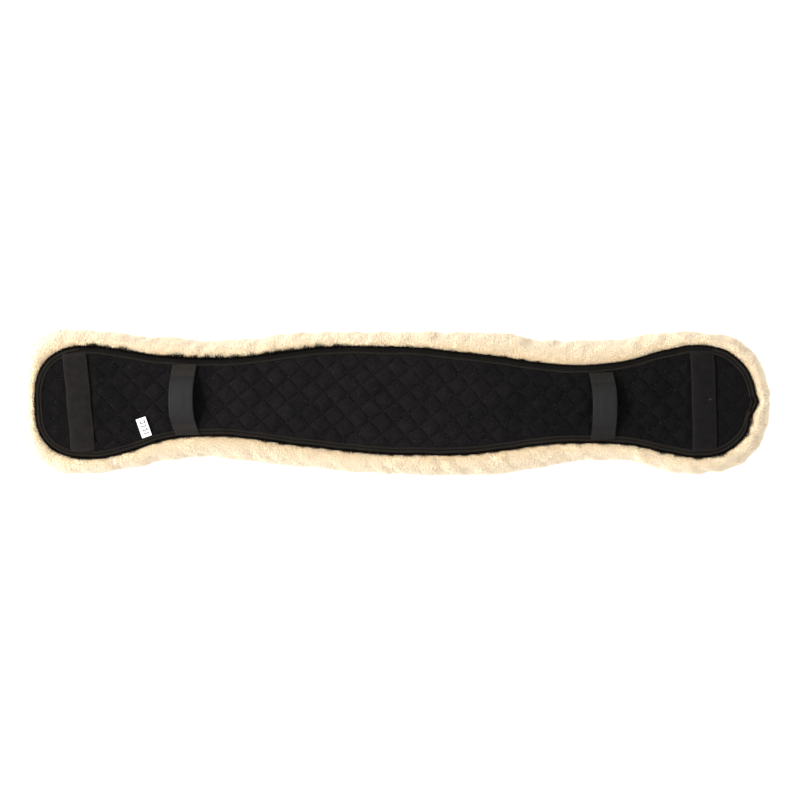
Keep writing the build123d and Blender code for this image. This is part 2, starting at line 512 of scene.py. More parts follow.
@dataclass
class Wardrobe:
    """Every finish of the cover, made once."""

    pile: bpy.types.Material = field(default_factory=PileFinish().build)
    hide: bpy.types.Material = field(default_factory=HideFinish().build)
    quilt: bpy.types.Material = field(default_factory=TwillFinish("quilt_cotton", is_quilted=True).build)
    binding: bpy.types.Material = field(
        default_factory=TwillFinish(
            "binding_tape", (0.0085, 0.0071, 0.0058), (0.0166, 0.0139, 0.0110), 0.0007, 0.8
        ).build
    )
    webbing: dict = field(
        default_factory=lambda: sides(
            WebbingFinish("webbing_left"),
            # the right end's webbing is a darker copy: painted shade, as the light falls off towards the
            # right
            WebbingFinish(
                "webbing_right_shaded",
                (0.0094, 0.0089, 0.0089),
                (0.0064, 0.0045, 0.0023),
                (0.0038, 0.0034, 0.0034),
            ),
        )
    )
    hook: dict = field(
        default_factory=lambda: sides(
            HookTapeFinish("hook_tape_left"),
            # the right end's hook tape is a darker copy: painted shade, as the light falls off towards the
            # right
            HookTapeFinish("hook_tape_right_shaded", (0.0031, 0.0027, 0.0025), (0.0068, 0.0058, 0.0055)),
        )
    )
    label: bpy.types.Material = field(default_factory=LabelFinish().build)
    thread: bpy.types.Material = field(
        default_factory=PlainClothFinish(
            "sewing_thread", (0.0092, 0.0083, 0.0087), (0.0205, 0.0187, 0.0192), 3000.0, 0.7, 0.12
        ).build
    )
    fuzz: bpy.types.Material = field(
        default_factory=PlainClothFinish(
            "edge_fuzz", (0.0025, 0.0021, 0.0019), (0.0081, 0.0067, 0.0052), 500.0, 0.9, 0.05
        ).build
    )
    lint: bpy.types.Material = field(
        default_factory=PlainClothFinish("lint", (0.05, 0.045, 0.045), (0.22, 0.21, 0.20), 900.0).build
    )
    lining: bpy.types.Material = field(
        default_factory=PlainClothFinish("lining_cloth", (0.02, 0.02, 0.02), (0.035, 0.034, 0.034)).build
    )
    wadding: bpy.types.Material = field(
        default_factory=PlainClothFinish(
            "wadding", (0.78, 0.78, 0.76), (0.86, 0.86, 0.84), 300.0, 0.95, 0.1, 0.0006
        ).build
    )


# ---------------------------------------------------------------------------------------------
# Geometry node trees


class GrowTree:
    """A geometry node tree that puts a small shape on many points of a mesh."""

    def __init__(self, name: str) -> None:
        """Start an empty tree that takes and gives a geometry."""
        self.tree = bpy.data.node_groups.new(name, "GeometryNodeTree")
        for way in ("INPUT", "OUTPUT"):
            self.tree.interface.new_socket("Geometry", in_out=way, socket_type="NodeSocketGeometry")
        self.inputs = self.tree.nodes.new("NodeGroupInput")
        self.outputs = self.tree.nodes.new("NodeGroupOutput")

    @property
    def ground(self) -> bpy.types.NodeSocket:
        """The mesh that the tree reads."""
        return self.inputs.outputs["Geometry"]

    def input(self, name: str, kind: str = "NodeSocketFloat", value: object = None) -> bpy.types.NodeSocket:
        """Add a named input and return its socket inside the tree."""
        made = self.tree.interface.new_socket(name, in_out="INPUT", socket_type=kind)
        if value is not None:
            made.default_value = value
        return self.inputs.outputs[name]

    def node(self, kind: str, settings: dict = {}, inputs: dict = {}) -> bpy.types.Node:
        """Add a node with its settings, then the values or links of its sockets."""
        made = self.tree.nodes.new(kind)
        for name, value in settings.items():
            setattr(made, name, value)
        for key, value in inputs.items():
            if isinstance(value, bpy.types.NodeSocket):
                self.tree.links.new(value, made.inputs[key])
            else:
                made.inputs[key].default_value = value
        return made

    def out(self, kind: str, settings: dict = {}, inputs: dict = {}) -> bpy.types.NodeSocket:
        """Add a node and return its first output."""
        return self.node(kind, settings, inputs).outputs[0]

    def math(self, operation: str, first: object, second: object) -> bpy.types.NodeSocket:
        """One sum on two numbers."""
        return self.out("ShaderNodeMath", {"operation": operation}, {0: first, 1: second})

    def product(self, *factors: object) -> bpy.types.NodeSocket:
        """Numbers multiplied together, in the order given."""
        return reduce(lambda so_far, factor: self.math("MULTIPLY", so_far, factor), factors)

    def vector(self, **parts: object) -> bpy.types.NodeSocket:
        """A vector from its parts X, Y and Z, which are 0 where they aren't given."""
        return self.out("ShaderNodeCombineXYZ", {}, parts)

    def chance(self, low: float, high: float, seed: int) -> bpy.types.NodeSocket:
        """A random number for each instance."""
        inputs = {2: low, 3: high, "Seed": seed}
        return self.node("FunctionNodeRandomValue", {"data_type": "FLOAT"}, inputs).outputs[1]

    def named(self, name: str, kind: str) -> bpy.types.NodeSocket:
        """A value that the mesh carries under a name."""
        return self.out("GeometryNodeInputNamedAttribute", {"data_type": kind}, {"Name": name})

    def heading(self, axis: str, along: bpy.types.NodeSocket, spin: object) -> bpy.types.NodeSocket:
        """A rotation that turns an axis along a direction, after a spin about the shape's own Z."""
        aimed = self.out("FunctionNodeAlignRotationToVector", {"axis": axis}, {"Vector": along})
        inputs = {"Rotation": aimed, "Rotate By": self.vector(Z=spin)}
        return self.out("FunctionNodeRotateRotation", {"rotation_space": "LOCAL"}, inputs)

    def place(self, points: object, shape: object, rotation: object, scale: object) -> None:
        """Put a shape on every point, make it all real, give it the material and send it out.

        Args:
            points: the points' socket.
            shape: the socket of the geometry to put there.
            rotation: the shapes' rotation.
            scale: the shapes' scale.
        """
        inputs = {"Points": points, "Instance": shape, "Rotation": rotation, "Scale": scale}
        instances = self.out("GeometryNodeInstanceOnPoints", {}, inputs)
        material = self.input("Material", "NodeSocketMaterial")
        real = self.out("GeometryNodeRealizeInstances", {}, {"Geometry": instances})
        dressed = self.out("GeometryNodeSetMaterial", {}, {"Geometry": real, "Material": material})
        self.tree.links.new(dressed, self.outputs.inputs[0])

    def grow(self, ground: bpy.types.Object, name: str, values: dict) -> bpy.types.Object:
        """Run the tree on a ground object and keep the result in its place.

        Args:
            ground: the mesh that the tree reads.
            name: the new piece's name.
            values: the inputs' values, by name.

        Returns:
            A plain mesh object. The ground is removed.
        """
        modifier = ground.modifiers.new("grow", "NODES")
        modifier.node_group = self.tree
        for item in self.tree.interface.items_tree:
            if item.in_out == "INPUT" and item.name in values:
                modifier[item.identifier] = values[item.name]
        ground.update_tag()
        graph = bpy.context.evaluated_depsgraph_get()
        mesh = bpy.data.meshes.new_from_object(ground.evaluated_get(graph), depsgraph=graph)
        made = bpy.data.objects.new(name, mesh)
        mesh.name = name
        bpy.context.scene.collection.objects.link(made)
        ground.modifiers.remove(modifier)
        bpy.data.objects.remove(ground)
        mesh.polygons.foreach_set("use_smooth", [True] * len(mesh.polygons))
        return made


def stitch_tree() -> GrowTree:
    """One bead of thread along every edge of a mesh of lines, a little shorter than the edge."""
    tree = GrowTree("stitch_rows")
    share = tree.input("Stitch Share", value=0.7)
    width = tree.input("Thread Width", value=0.0005)
    ends = tree.node("GeometryNodeInputMeshEdgeVertices").outputs
    between = {0: ends["Position 2"], 1: ends["Position 1"]}
    step = tree.out("ShaderNodeVectorMath", {"operation": "SUBTRACT"}, between)
    held = tree.node("GeometryNodeCaptureAttribute", {"domain": "EDGE"}, {"Geometry": tree.ground})
    held.capture_items.new("VECTOR", "Along")
    tree.tree.links.new(step, held.inputs["Along"])
    along = held.outputs["Along"]
    points = tree.out("GeometryNodeMeshToPoints", {"mode": "EDGES"}, {"Mesh": held.outputs["Geometry"]})
    bead = tree.out("GeometryNodeMeshUVSphere", {}, {"Segments": 6, "Rings": 4, "Radius": 0.5})
    reach = tree.node("ShaderNodeVectorMath", {"operation": "LENGTH"}, {0: along}).outputs["Value"]
    length = tree.product(reach, share, tree.chance(0.85, 1.1, 5))
    heading = tree.heading("X", along, tree.chance(-0.14, 0.14, 3))
    tree.place(points, bead, heading, tree.vector(X=length, Y=width, Z=width))
    return tree


def tuft_tree() -> GrowTree:
    """Bent, tapering tufts that stand on a surface along its comb direction."""
    tree = GrowTree("tufts")
    density = tree.input("Density", value=100000.0)
    width = tree.input("Tuft Width", value=0.001)
    length = tree.input("Tuft Length", value=0.006)
    bend = tree.input("Bend", value=0.4)
    scatter = tree.input("Scatter", value=0.4)
    seed = tree.input("Seed", "NodeSocketInt", 1)
    segments = tree.input("Segments", "NodeSocketInt", 3)
    sown = {"Mesh": tree.ground, "Density": density, "Seed": seed}
    points = tree.out("GeometryNodeDistributePointsOnFaces", {}, sown)
    size = {"Radius Top": 0.0, "Radius Bottom": 0.5, "Depth": 1.0}
    sections = {"Vertices": 3, "Side Segments": segments}
    cone = tree.out("GeometryNodeMeshCone", {"fill_type": "NGON"}, {**sections, **size})
    spot = tree.node("ShaderNodeSeparateXYZ", {}, {0: tree.out("GeometryNodeInputPosition")}).outputs
    rise = spot["Z"]
    fuller = tree.math("ADD", 1.0, tree.product(rise, 1.3))
    sideways = tree.math("ADD", tree.product(spot["X"], fuller), tree.product(rise, rise, bend))
    bent_to = tree.vector(X=sideways, Y=tree.product(spot["Y"], fuller), Z=rise)
    bent = tree.out("GeometryNodeSetPosition", {}, {"Geometry": cone, "Position": bent_to})
    kind = {"data_type": "FLOAT", "domain": "POINT"}
    marks = {"Geometry": bent, "Name": "tip", "Value": rise}
    tuft = tree.out("GeometryNodeStoreNamedAttribute", kind, marks)
    jitter = tree.vector(**{axis: tree.chance(-1.0, 1.0, 11 + i) for i, axis in enumerate("XYZ")})
    spread = tree.out("ShaderNodeVectorMath", {"operation": "SCALE"}, {0: jitter, "Scale": scatter})
    combed = {0: tree.named("comb", "FLOAT_VECTOR"), 1: spread}
    stand = tree.out("ShaderNodeVectorMath", {"operation": "ADD"}, combed)
    heading = tree.heading("Z", stand, tree.chance(0.0, 6.28, 14))
    thick = tree.product(width, tree.chance(0.7, 1.3, 15))
    tall = tree.product(length, tree.chance(0.65, 1.15, 16), tree.named("reach", "FLOAT"))
    tree.place(points, tuft, heading, tree.vector(X=thick, Y=thick, Z=tall))
    return tree


def hook_tree() -> GrowTree:
    """A small bent hook on every point of a mesh."""
    tree = GrowTree("hooks")
    height = tree.input("Hook Height", value=0.0012)
    wire = tree.input("Wire", value=0.0002)
    points = tree.out("GeometryNodeMeshToPoints", {}, {"Mesh": tree.ground})
    bow = {"Resolution": 4, "Start": (0, 0, 0), "Middle": (0, 0, 1.6), "End": (0.75, 0, 0.55)}
    path = tree.out("GeometryNodeCurveQuadraticBezier", {}, bow)
    circle = {"Resolution": 3, "Radius": tree.math("DIVIDE", wire, height)}
    section = tree.out("GeometryNodeCurvePrimitiveCircle", {}, circle)
    curves = {"Curve": path, "Profile Curve": section, "Fill Caps": True}
    hook = tree.out("GeometryNodeCurveToMesh", {}, curves)
    tree.place(points, hook, tree.vector(Z=tree.chance(0.0, 6.28, 21)), height)
    return tree


@dataclass(frozen=True)
class Thread:
    """Sewing thread: the share of each stitch that shows, and its thickness."""

    share: float
    width: float

    def values(self, material: bpy.types.Material) -> dict:
        """The inputs of stitch_tree."""
        return {"Stitch Share": self.share, "Thread Width": self.width, "Material": material}


@dataclass(frozen=True)
class Tuft:
    """A kind of tuft: how many stand on a square metre, their size, their bend and their disorder."""

    density: float
    width: float
    length: float
    bend: float
    scatter: float
    seed: int
    segments: int = 2

    def values(self, material: bpy.types.Material, patch: int = 0) -> dict:
        """The inputs of tuft_tree, with a seed of its own for each patch."""
        return {
            "Density": self.density,
            "Tuft Width": self.width,
            "Tuft Length": self.length,
            "Bend": self.bend,
            "Scatter": self.scatter,
            "Seed": self.seed + patch,
            "Segments": self.segments,
            "Material": material,
        }


# ---------------------------------------------------------------------------------------------
# The cover's outline


@dataclass
class PadShape:
    """The bound pad seen from above: round ends, two waists and a full middle, in arcs that meet smoothly."""

    half_length: float
    half_centre: float
    half_waist: float = 0.0405
    waist_from_end: float = 0.182
    end_radius: float = 0.0585
    shoulder: tuple = (0.278, 0.024, 0.0026)
    squareness: dict = field(default_factory=lambda: {Side.LEFT: 2.6, Side.RIGHT: 2.08})
    sway: tuple = (
        (-0.375, 0.0),
        (-0.300, -0.0005),
        (-0.215, 0.0050),
        (-0.085, 0.0046),
        (0.010, 0.0012),
        (0.075, -0.0018),
        (0.190, -0.0022),
        (0.290, 0.0008),
        (0.375, 0.0008),
    )
    # the right end's edge where its tape is lapped: place along Y, reach and how far out it stands
    kinks: tuple = ((-0.0005, 0.0055, 0.0022), (-0.0190, 0.0095, -0.0036))

    def __post_init__(self) -> None:
        """Work out the arcs and a close polyline of the upper edge, from the right tip to the left."""
        self.end_x = self.half_length - self.end_radius
        waist_x = self.half_length - self.waist_from_end
        reach = self.end_x - waist_x
        swelling = self.end_radius - self.half_waist
        radius = (reach**2 + self.half_waist**2 - self.end_radius**2) / (2 * swelling)
        waist_y = self.half_waist + radius
        fullness = self.half_centre - self.half_waist
        centre_radius = (waist_x**2 + fullness**2) / (2 * fullness) - radius
        centre_y = self.half_centre - centre_radius
        centre_turn = math.atan2(waist_x, waist_y - centre_y)
        end_turn = math.atan2(reach, waist_y)
        crown = np.linspace(0, centre_turn, 200)
        middle = np.stack([centre_radius * np.sin(crown), centre_y + centre_radius * np.cos(crown)], -1)
        dip = np.linspace(-centre_turn, end_turn, 300)[1:]
        waist = np.stack([waist_x + radius * np.sin(dip), waist_y - radius * np.cos(dip)], -1)
        halves = {}
        for side in Side:
            around = np.linspace(math.pi / 2 + end_turn, 0, 300)[1:]
            power = self.squareness[side]
            spread = np.abs(np.cos(around)) ** power + np.abs(np.sin(around)) ** power
            swell = np.where(around <= math.pi / 2, spread ** (-1 / power), 1.0)
            out = self.end_radius * swell
            tip = np.stack([self.end_x + out * np.cos(around), out * np.sin(around)], -1)
            halves[side] = np.concatenate([middle, waist, tip]) * (side.value, 1)
        self.upper = np.concatenate([halves[Side.RIGHT][::-1], halves[Side.LEFT][1:]])
        place, reach, rise = self.shoulder
        self.upper[:, 1] += rise * np.exp(-(((np.abs(self.upper[:, 0]) - place) / reach) ** 2))

    def half_width(self, x: Array) -> Array:
        """Half the pad's width at each x, and 0 past its ends."""
        return np.interp(x, self.upper[::-1, 0], self.upper[::-1, 1], 0, 0)

    def edge(self, steps: int) -> Array:
        """Evenly spaced points round the edge, anticlockwise from the right tip, mirrored about X."""
        top = evenly(self.upper, steps // 2 + 1)
        return np.concatenate([top, top[-2:0:-1] * (1, -1)])

    def kink(self, x: Array, y: Array) -> Array:
        """How far the lapped tape pushes the right end's edge along X at each place."""
        bump = sum(out * np.exp(-(((y - at) / reach) ** 2)) for at, reach, out in self.kinks)
        return bump * smooth(0.33, 0.35, x)

    @staticmethod
    def outward(edge: Array) -> Array:
        """Unit directions that point out of a closed anticlockwise edge."""
        along = np.roll(edge, -1, 0) - np.roll(edge, 1, 0)
        along /= np.linalg.norm(along, axis=1, keepdims=True)
        return np.stack([along[:, 1], -along[:, 0]], -1)

    def spine(self, edge: Array) -> Array:
        """The nearest point of the pad's middle line to each point of an edge."""
        return np.stack([np.clip(edge[:, 0], -self.end_x, self.end_x), np.zeros(len(edge))], -1)

    def depth_inside(self, x: Array, y: Array) -> Array:
        """How far inside the edge each place lies; below 0 outside it."""
        edge = self.edge(3000)
        edge[:, 0] += self.kink(edge[:, 0], edge[:, 1])
        tree = KDTree(len(edge))
        for number, (px, py) in enumerate(edge):
            tree.insert((px, py, 0.0), number)
        tree.balance()
        flat = np.stack([x.ravel(), y.ravel()], -1)
        away = np.array([tree.find((px, py, 0.0))[2] for px, py in flat]).reshape(x.shape)
        return np.where(np.abs(y) < self.half_width(x - self.kink(x, y)), away, -away)

    def sway_at(self, x: Array) -> Array:
        """How far the limp cover lies to one side at each x."""
        stations = np.array(self.sway)
        place = np.clip(x, stations[0, 0], stations[-1, 0])
        index = np.clip(np.searchsorted(stations[:, 0], place) - 1, 0, len(stations) - 2)
        start, end = stations[index], stations[index + 1]
        t = (place - start[..., 0]) / (end[..., 0] - start[..., 0])
        return start[..., 1] + (end[..., 1] - start[..., 1]) * t * t * (3 - 2 * t)

    def lay(self, points: Array) -> Array:
        """Points of the straight cover, moved to where it lies."""
        moved = points.copy()
        moved[..., 1] += self.sway_at(points[..., 0])
        return moved


@dataclass
class Quilting:
    """Diamonds of wadding sewn down by two families of parallel rows."""

    shape: PadShape
    top: float
    diamond_length: float = 0.025
    diamond_height: float = 0.0235
    turn: float = math.radians(-4.5)
    stitches: int = 6
    # half the width of the field that the rows are looked for in
    half_field: float = 0.065
    puff: float = 0.0024
    valley_below_top: float = 0.0016
    edge_from: float = 0.0068
    edge_to: float = 0.0150
    # parts that hold the wadding down: middle, half size and share of the puff that they take
    flat_places: list = field(default_factory=list)
    # right edges of the loops, and how strong the painted shadow is just right of each
    loop_edges: list = field(default_factory=list)
    loop_reach: float = 0.014
    # short creases across the puffs: left and right end, place along Y and depth
    creases: tuple = ((-0.313, -0.272, 0.0335, 0.0010), (-0.306, -0.282, 0.0282, 0.0007))

    def heading(self, direction: int) -> float:
        """The angle of one family's rows; direction is 1 where they rise to the right."""
        return self.turn + direction * math.atan2(self.diamond_height, self.diamond_length)

    @property
    def spacing(self) -> float:
        """The distance between two rows of a family."""
        return self.diamond_length * math.sin(math.atan2(self.diamond_height, self.diamond_length))

    def row_phase(self, x: Array, y: Array, direction: int) -> Array:
        """Which row a place lies on, as a number of spacings, with the rows' slight waviness."""
        angle = self.heading(direction)
        waver = Ripple(0.11, 40 + direction)(x, y) * 0.0006
        waver += Ripple(0.028, 50 + direction)(x, y) * 0.00022
        return (-x * math.sin(angle) + y * math.cos(angle) + waver) / self.spacing

    def height(self, x: Array, y: Array, inside: Array) -> Array:
        """The face's height at each place, where inside is its distance from the pad's edge."""
        first, second = self.row_phase(x, y, 1), self.row_phase(x, y, -1)
        dome = (np.abs(np.sin(math.pi * first)) * np.abs(np.sin(math.pi * second))) ** 0.55
        cell = np.sin(np.floor(first) * 12.9898 + np.floor(second) * 78.233) * 43758.5453
        mood = 0.84 + 0.26 * (cell - np.floor(cell))
        to_row = [np.abs(phase - np.round(phase)) for phase in (first, second)]
        near_row = np.exp(-(np.minimum(*to_row) ** 2) * 90)
        crease = Ripple(0.0062, 61)(x, y) * 0.00016 * near_row + Ripple(0.012, 62)(x, y) * 0.00022
        press = np.ones_like(x)
        for (centre_x, centre_y), (half_x, half_y), share in self.flat_places:
            beside = 1 - smooth(half_x, half_x + 0.006, np.abs(x - centre_x))
            press *= 1 - share * beside * (1 - smooth(half_y, half_y + 0.006, np.abs(y - centre_y)))
        for left, right, at, depth in self.creases:
            window = smooth(left, left + 0.008, x) * (1 - smooth(right - 0.012, right, x))
            crease -= depth * window * np.exp(-(((y - at - 0.05 * (x - left)) / 0.0012) ** 2))
        ends = 1 - 0.35 * smooth(0.315, 0.345, np.abs(x))
        rise = smooth(self.edge_from, self.edge_to, inside)
        swell = self.puff * dome * mood * press * ends * (0.25 + 0.75 * rise)
        low = self.top - self.valley_below_top * (0.55 + 0.45 * rise)
        return low + swell + crease * (0.4 + 0.6 * rise)

    def laid(self, x: Array) -> Array:
        """Painted shade on the cotton at each x: darker towards both ends, where the light falls off, and
        painted shadows just right of the loops.
        """
        laid = 0.42 * smooth(0.02, 0.20, x) + 0.30 * smooth(0.20, 0.32, -x)
        for edge_x, share in self.loop_edges:
            past = np.maximum(x - edge_x, 0) / self.loop_reach
            beside = np.exp(-(past**2)) * smooth(edge_x - 0.02, edge_x, x)
            laid = laid + share * beside * (1 - laid)
        return laid

    def meet(self, rising: Array, falling: Array) -> tuple[Array, Array]:
        """The places that lie on given rows of both families, whole or in part."""
        turns = [self.heading(1), self.heading(-1)]
        frame_rows = np.array([[-math.sin(t), math.cos(t)] for t in turns]) / self.spacing
        back = np.linalg.inv(frame_rows)
        x, y = back @ np.stack([rising, falling])
        for _ in range(4):
            miss = np.stack([rising - self.row_phase(x, y, 1), falling - self.row_phase(x, y, -1)])
            x, y = np.stack([x, y]) + back @ miss
        return x, y

    def row_lines(self, direction: int, inside_by: float) -> tuple[Array, list]:
        """Points and edges that follow one family's rows over the face, one edge for each stitch.

        Args:
            direction: 1 for the rows that rise to the right, -1 for the others.
            inside_by: how far inside the pad's edge the rows stop.

        Returns:
            The points, on the face, and the edges between neighbours.
        """
        count = int(1.5 * self.shape.half_length / self.spacing)
        walk = np.arange(-count * self.stitches, count * self.stitches + 1) / self.stitches
        row, part = (grid.ravel() for grid in np.meshgrid(np.arange(-count, count + 1), walk, indexing="ij"))
        x, y = self.meet(row, part) if direction == 1 else self.meet(part, row)
        near = (np.abs(x) < self.shape.half_length) & (np.abs(y) < self.half_field)
        inside = np.full(len(x), -1.0)
        inside[near] = self.shape.depth_inside(x[near], y[near])
        kept = inside > inside_by
        number = np.cumsum(kept) - 1
        joined = kept[:-1] & kept[1:] & (row[:-1] == row[1:])
        pairs = [(int(number[i]), int(number[i + 1])) for i in np.flatnonzero(joined)]
        return stack(x, y, self.height(x, y, inside))[kept], pairs


# ---------------------------------------------------------------------------------------------
# Sub-assemblies


@dataclass
class Dresser:
    """Gives finished pieces their finish and body, hides the CAD parts they stand for and tells the log."""

    made: int = 0

    def keep(
        self,
        piece: bpy.types.Object,
        material: bpy.types.Material,
        nodes: Iterable[str] = (),
        body: str = COVER,
    ) -> bpy.types.Object:
        """Give a piece its finish and body, and hide the CAD nodes that it stands for."""
        piece.data.materials.clear()
        piece.data.materials.append(material)
        if body:
            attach(piece, body)
        if nodes:
            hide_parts(*nodes)
        self.made += 1
        LOG.info("%s: %d faces", piece.name, len(piece.data.polygons))
        return piece


@dataclass
class Fleece:
    """The lining: a hide with thick pile that rolls up round the pad's edge."""

    shape: PadShape
    ground: float
    wardrobe: Wardrobe
    tufts: GrowTree
    around: int = 1500
    # the depth over which the lowest tips are laid down, then the heights of the hide's two faces
    give: float = 0.0007
    hide_top: float = 0.0160
    hide_bottom: float = 0.0032
    rim_tuft: Tuft = Tuft(1300000.0, 0.00080, 0.0035, 0.35, 0.32, 200)
    rim_patches: int = 8
    under_tuft: Tuft = Tuft(330000.0, 0.0014, 0.0037, 0.1, 0.10, 300)
    under_patches: int = 4
    # place along the cover, and how far the pile stands out past the pad on its upper and lower side
    margins: tuple = (
        (-0.375, 0.0088, 0.0092),
        (-0.370, 0.0160, 0.0155),
        (-0.360, 0.0245, 0.0200),
        (-0.347, 0.0215, 0.0180),
        (-0.325, 0.0145, 0.0140),
        (-0.298, 0.0155, 0.0130),
        (-0.273, 0.0150, 0.0155),
        (-0.235, 0.0200, 0.0215),
        (-0.198, 0.0170, 0.0205),
        (-0.160, 0.0185, 0.0240),
        (-0.099, 0.0160, 0.0210),
        (-0.049, 0.0130, 0.0205),
        (0.010, 0.0145, 0.0195),
        (0.065, 0.0195, 0.0205),
        (0.110, 0.0245, 0.0235),
        (0.150, 0.0225, 0.0225),
        (0.200, 0.0255, 0.0170),
        (0.250, 0.0225, 0.0155),
        (0.275, 0.0190, 0.0170),
        (0.300, 0.0135, 0.0165),
        (0.325, 0.0112, 0.0145),
        (0.350, 0.0150, 0.0190),
        (0.365, 0.0160, 0.0170),
        (0.375, 0.0130, 0.0145),
    )
    # share of the margin and height above the ground, from beside the binding, over the rim and under
    section: tuple = (
        (-0.25, 0.0165),
        (-0.08, 0.0175),
        (0.02, 0.0200),
        (0.10, 0.0220),
        (0.22, 0.0238),
        (0.36, 0.0243),
        (0.50, 0.0232),
        (0.64, 0.0208),
        (0.77, 0.0175),
        (0.87, 0.0138),
        (0.93, 0.0098),
        (0.92, 0.0058),
        (0.84, 0.0042),
        (0.70, 0.0034),
        (0.40, 0.0032),
        (0.00, 0.0032),
    )

    def margin(self, edge: Array, outward: Array) -> Array:
        """How far the pile stands out past the pad at each point of its edge."""
        stations = np.array(self.margins)
        upper = np.interp(edge[:, 0], stations[:, 0], stations[:, 1])
        lower = np.interp(edge[:, 0], stations[:, 0], stations[:, 2])
        share = smooth(-0.7, 0.7, outward[:, 1])
        wide = lower + (upper - lower) * share
        for _ in range(30):
            wide = (np.roll(wide, 1) + wide * 2 + np.roll(wide, -1)) / 4
        return wide + Ripple(0.030, 71)(edge[:, 0], edge[:, 1] * 3) * 0.0007

    def rings(self) -> tuple[Array, Array]:
        """The section's rings round the cover and the share of the margin that each lies at."""
        edge = self.shape.edge(self.around)
        outward = self.shape.outward(edge)
        margin = self.margin(edge, outward)
        knots = np.array(self.section)
        fine = np.linspace(0, len(knots) - 1, 3 * (len(knots) - 1) + 1)
        share = np.interp(fine, range(len(knots)), knots[:, 0])
        height = np.interp(fine, range(len(knots)), knots[:, 1])
        for _ in range(2):
            share[1:-1] = (share[:-2] + share[1:-1] * 2 + share[2:]) / 4
            height[1:-1] = (height[:-2] + height[1:-1] * 2 + height[2:]) / 4
        kink = self.shape.kink(edge[:, 0], edge[:, 1])
        rings = []
        for part, z in zip(share, height):
            flat = edge + outward * (margin * part)[:, None]
            flat[:, 0] += kink * (1 - smooth(0.0, 0.8, part))
            lump = Ripple(0.018, 72)(flat[:, 0] + z, flat[:, 1]) * 0.0006
            lump += Ripple(0.0075, 73)(flat[:, 0], flat[:, 1] + z) * 0.0002
            swell = lump * smooth(-0.05, 0.2, part) * (1.0 if z > 0.004 else 0.3)
            flat = flat + outward * swell[:, None]
            rings.append(stack(flat[:, 0], flat[:, 1], self.ground + z + swell * 0.8))
        return np.array(rings), share

    def body(self) -> bpy.types.Object:
        """The closed hide and the ground of its pile."""
        rings, share = self.rings()
        edge = self.shape.edge(self.around)
        spine = self.shape.spine(edge)
        inward = edge - spine
        tops, unders = [], []
        for part in (0.0, 0.3, 0.6, 0.85):
            flat = spine + inward * part
            tops.append(stack(flat[:, 0], flat[:, 1], self.ground + self.hide_top))
            unders.append(stack(flat[:, 0], flat[:, 1], self.ground + self.hide_bottom))
        loops = np.concatenate([np.array(tops), rings, np.array(unders[::-1])])
        hide = make_object("fleece_lining", self.shape.lay(loops), lattice(len(loops), self.around))
        # painted warm shade on the hide beside the binding
        warm_shade = np.zeros(len(loops))
        warm_shade[len(tops) : len(tops) + len(share)] = 1 - smooth(0.0, 0.35, share)
        set_attribute(hide, "warm_shade", np.repeat(warm_shade, self.around))
        return close_up(hide)

    @staticmethod
    def columns(number: int, patches: int, around: int) -> Array:
        """Which of the points round the cover one of several equal patches spans."""
        start = number * around // patches
        return np.arange(start, start + around // patches + 1) % around

    def rim_ground(self, rings: Array, share: Array, columns: Array, reach: Array) -> bpy.types.Object:
        """A patch of the rim pile's ground, with the way that the pile lies on it.

        Args:
            rings: the rings that it spans.
            share: each ring's share of the margin.
            columns: which points round the cover it spans.
            reach: how long the pile is on each ring, as a share of its full length.

        Returns:
            The patch.
        """
        patch = rings[:, columns]
        down_ring = np.gradient(patch, axis=0)
        along = np.gradient(patch, axis=1)
        normal = np.cross(down_ring, along)
        normal /= np.linalg.norm(normal, axis=-1, keepdims=True) + 1e-12
        middle = patch[..., :2] - np.stack([np.clip(patch[..., 0], -0.3, 0.3), patch[..., 1] * 0], -1)
        outward = np.concatenate([middle, np.zeros((*middle.shape[:2], 1))], -1)
        outward /= np.linalg.norm(outward, axis=-1, keepdims=True) + 1e-9
        if np.mean(np.sum(normal[len(normal) // 2] * outward[len(normal) // 2], -1)) < 0:
            normal = -normal
        comb = normal + outward * 0.55
        for axis in (0, 1):
            comb[..., axis] += Ripple(0.022, 81 + axis)(patch[..., 0], patch[..., 1]) * 0.12
        low = patch[..., 2] < self.ground + 0.007
        comb[..., 2] = np.where(low, np.maximum(comb[..., 2], 0.40), comb[..., 2])
        cells = lattice(*patch.shape[:2], closed_around=False)
        made = make_object("pile_ground", self.shape.lay(patch), cells)
        flat = patch.reshape(-1, 3)
        set_attribute(made, "comb", comb.reshape(-1, 3))
        set_attribute(made, "reach", np.repeat(reach, patch.shape[1]))
        # painted warm shade on the pile beside the binding
        warm_shade = 1 - smooth(0.03, 0.30, np.repeat(share, patch.shape[1]))
        set_attribute(made, "warm_shade", warm_shade * (0.75 + 0.25 * Ripple(0.02, 83)(flat[:, 0], flat[:, 1])))
        set_attribute(made, "rim", smooth(0.45, 0.95, np.repeat(share, patch.shape[1])))
        return made

    def rim_pile(self) -> list[bpy.types.Object]:
        """The pile that shows round the pad, in stretches of the rim."""
        rings, share = self.rings()
        first = int(np.argmax(share > 0.01))
        last = len(share) - int(np.argmax(rings[::-1, :, 2].mean(1) > self.ground + 0.0040))
        rings, share = rings[first:last], share[first:last]
        reach = np.interp(share, (0.0, 0.15, 0.35, 1.0), (0.5, 0.85, 1.0, 1.0))
        pieces = []
        for number in range(self.rim_patches):
            columns = self.columns(number, self.rim_patches, self.around)
            ground = self.rim_ground(rings, share, columns, reach)
            values = self.rim_tuft.values(self.wardrobe.pile, number)
            pieces.append(self.tufts.grow(ground, f"pile_rim_{number + 1}", values))
        return pieces

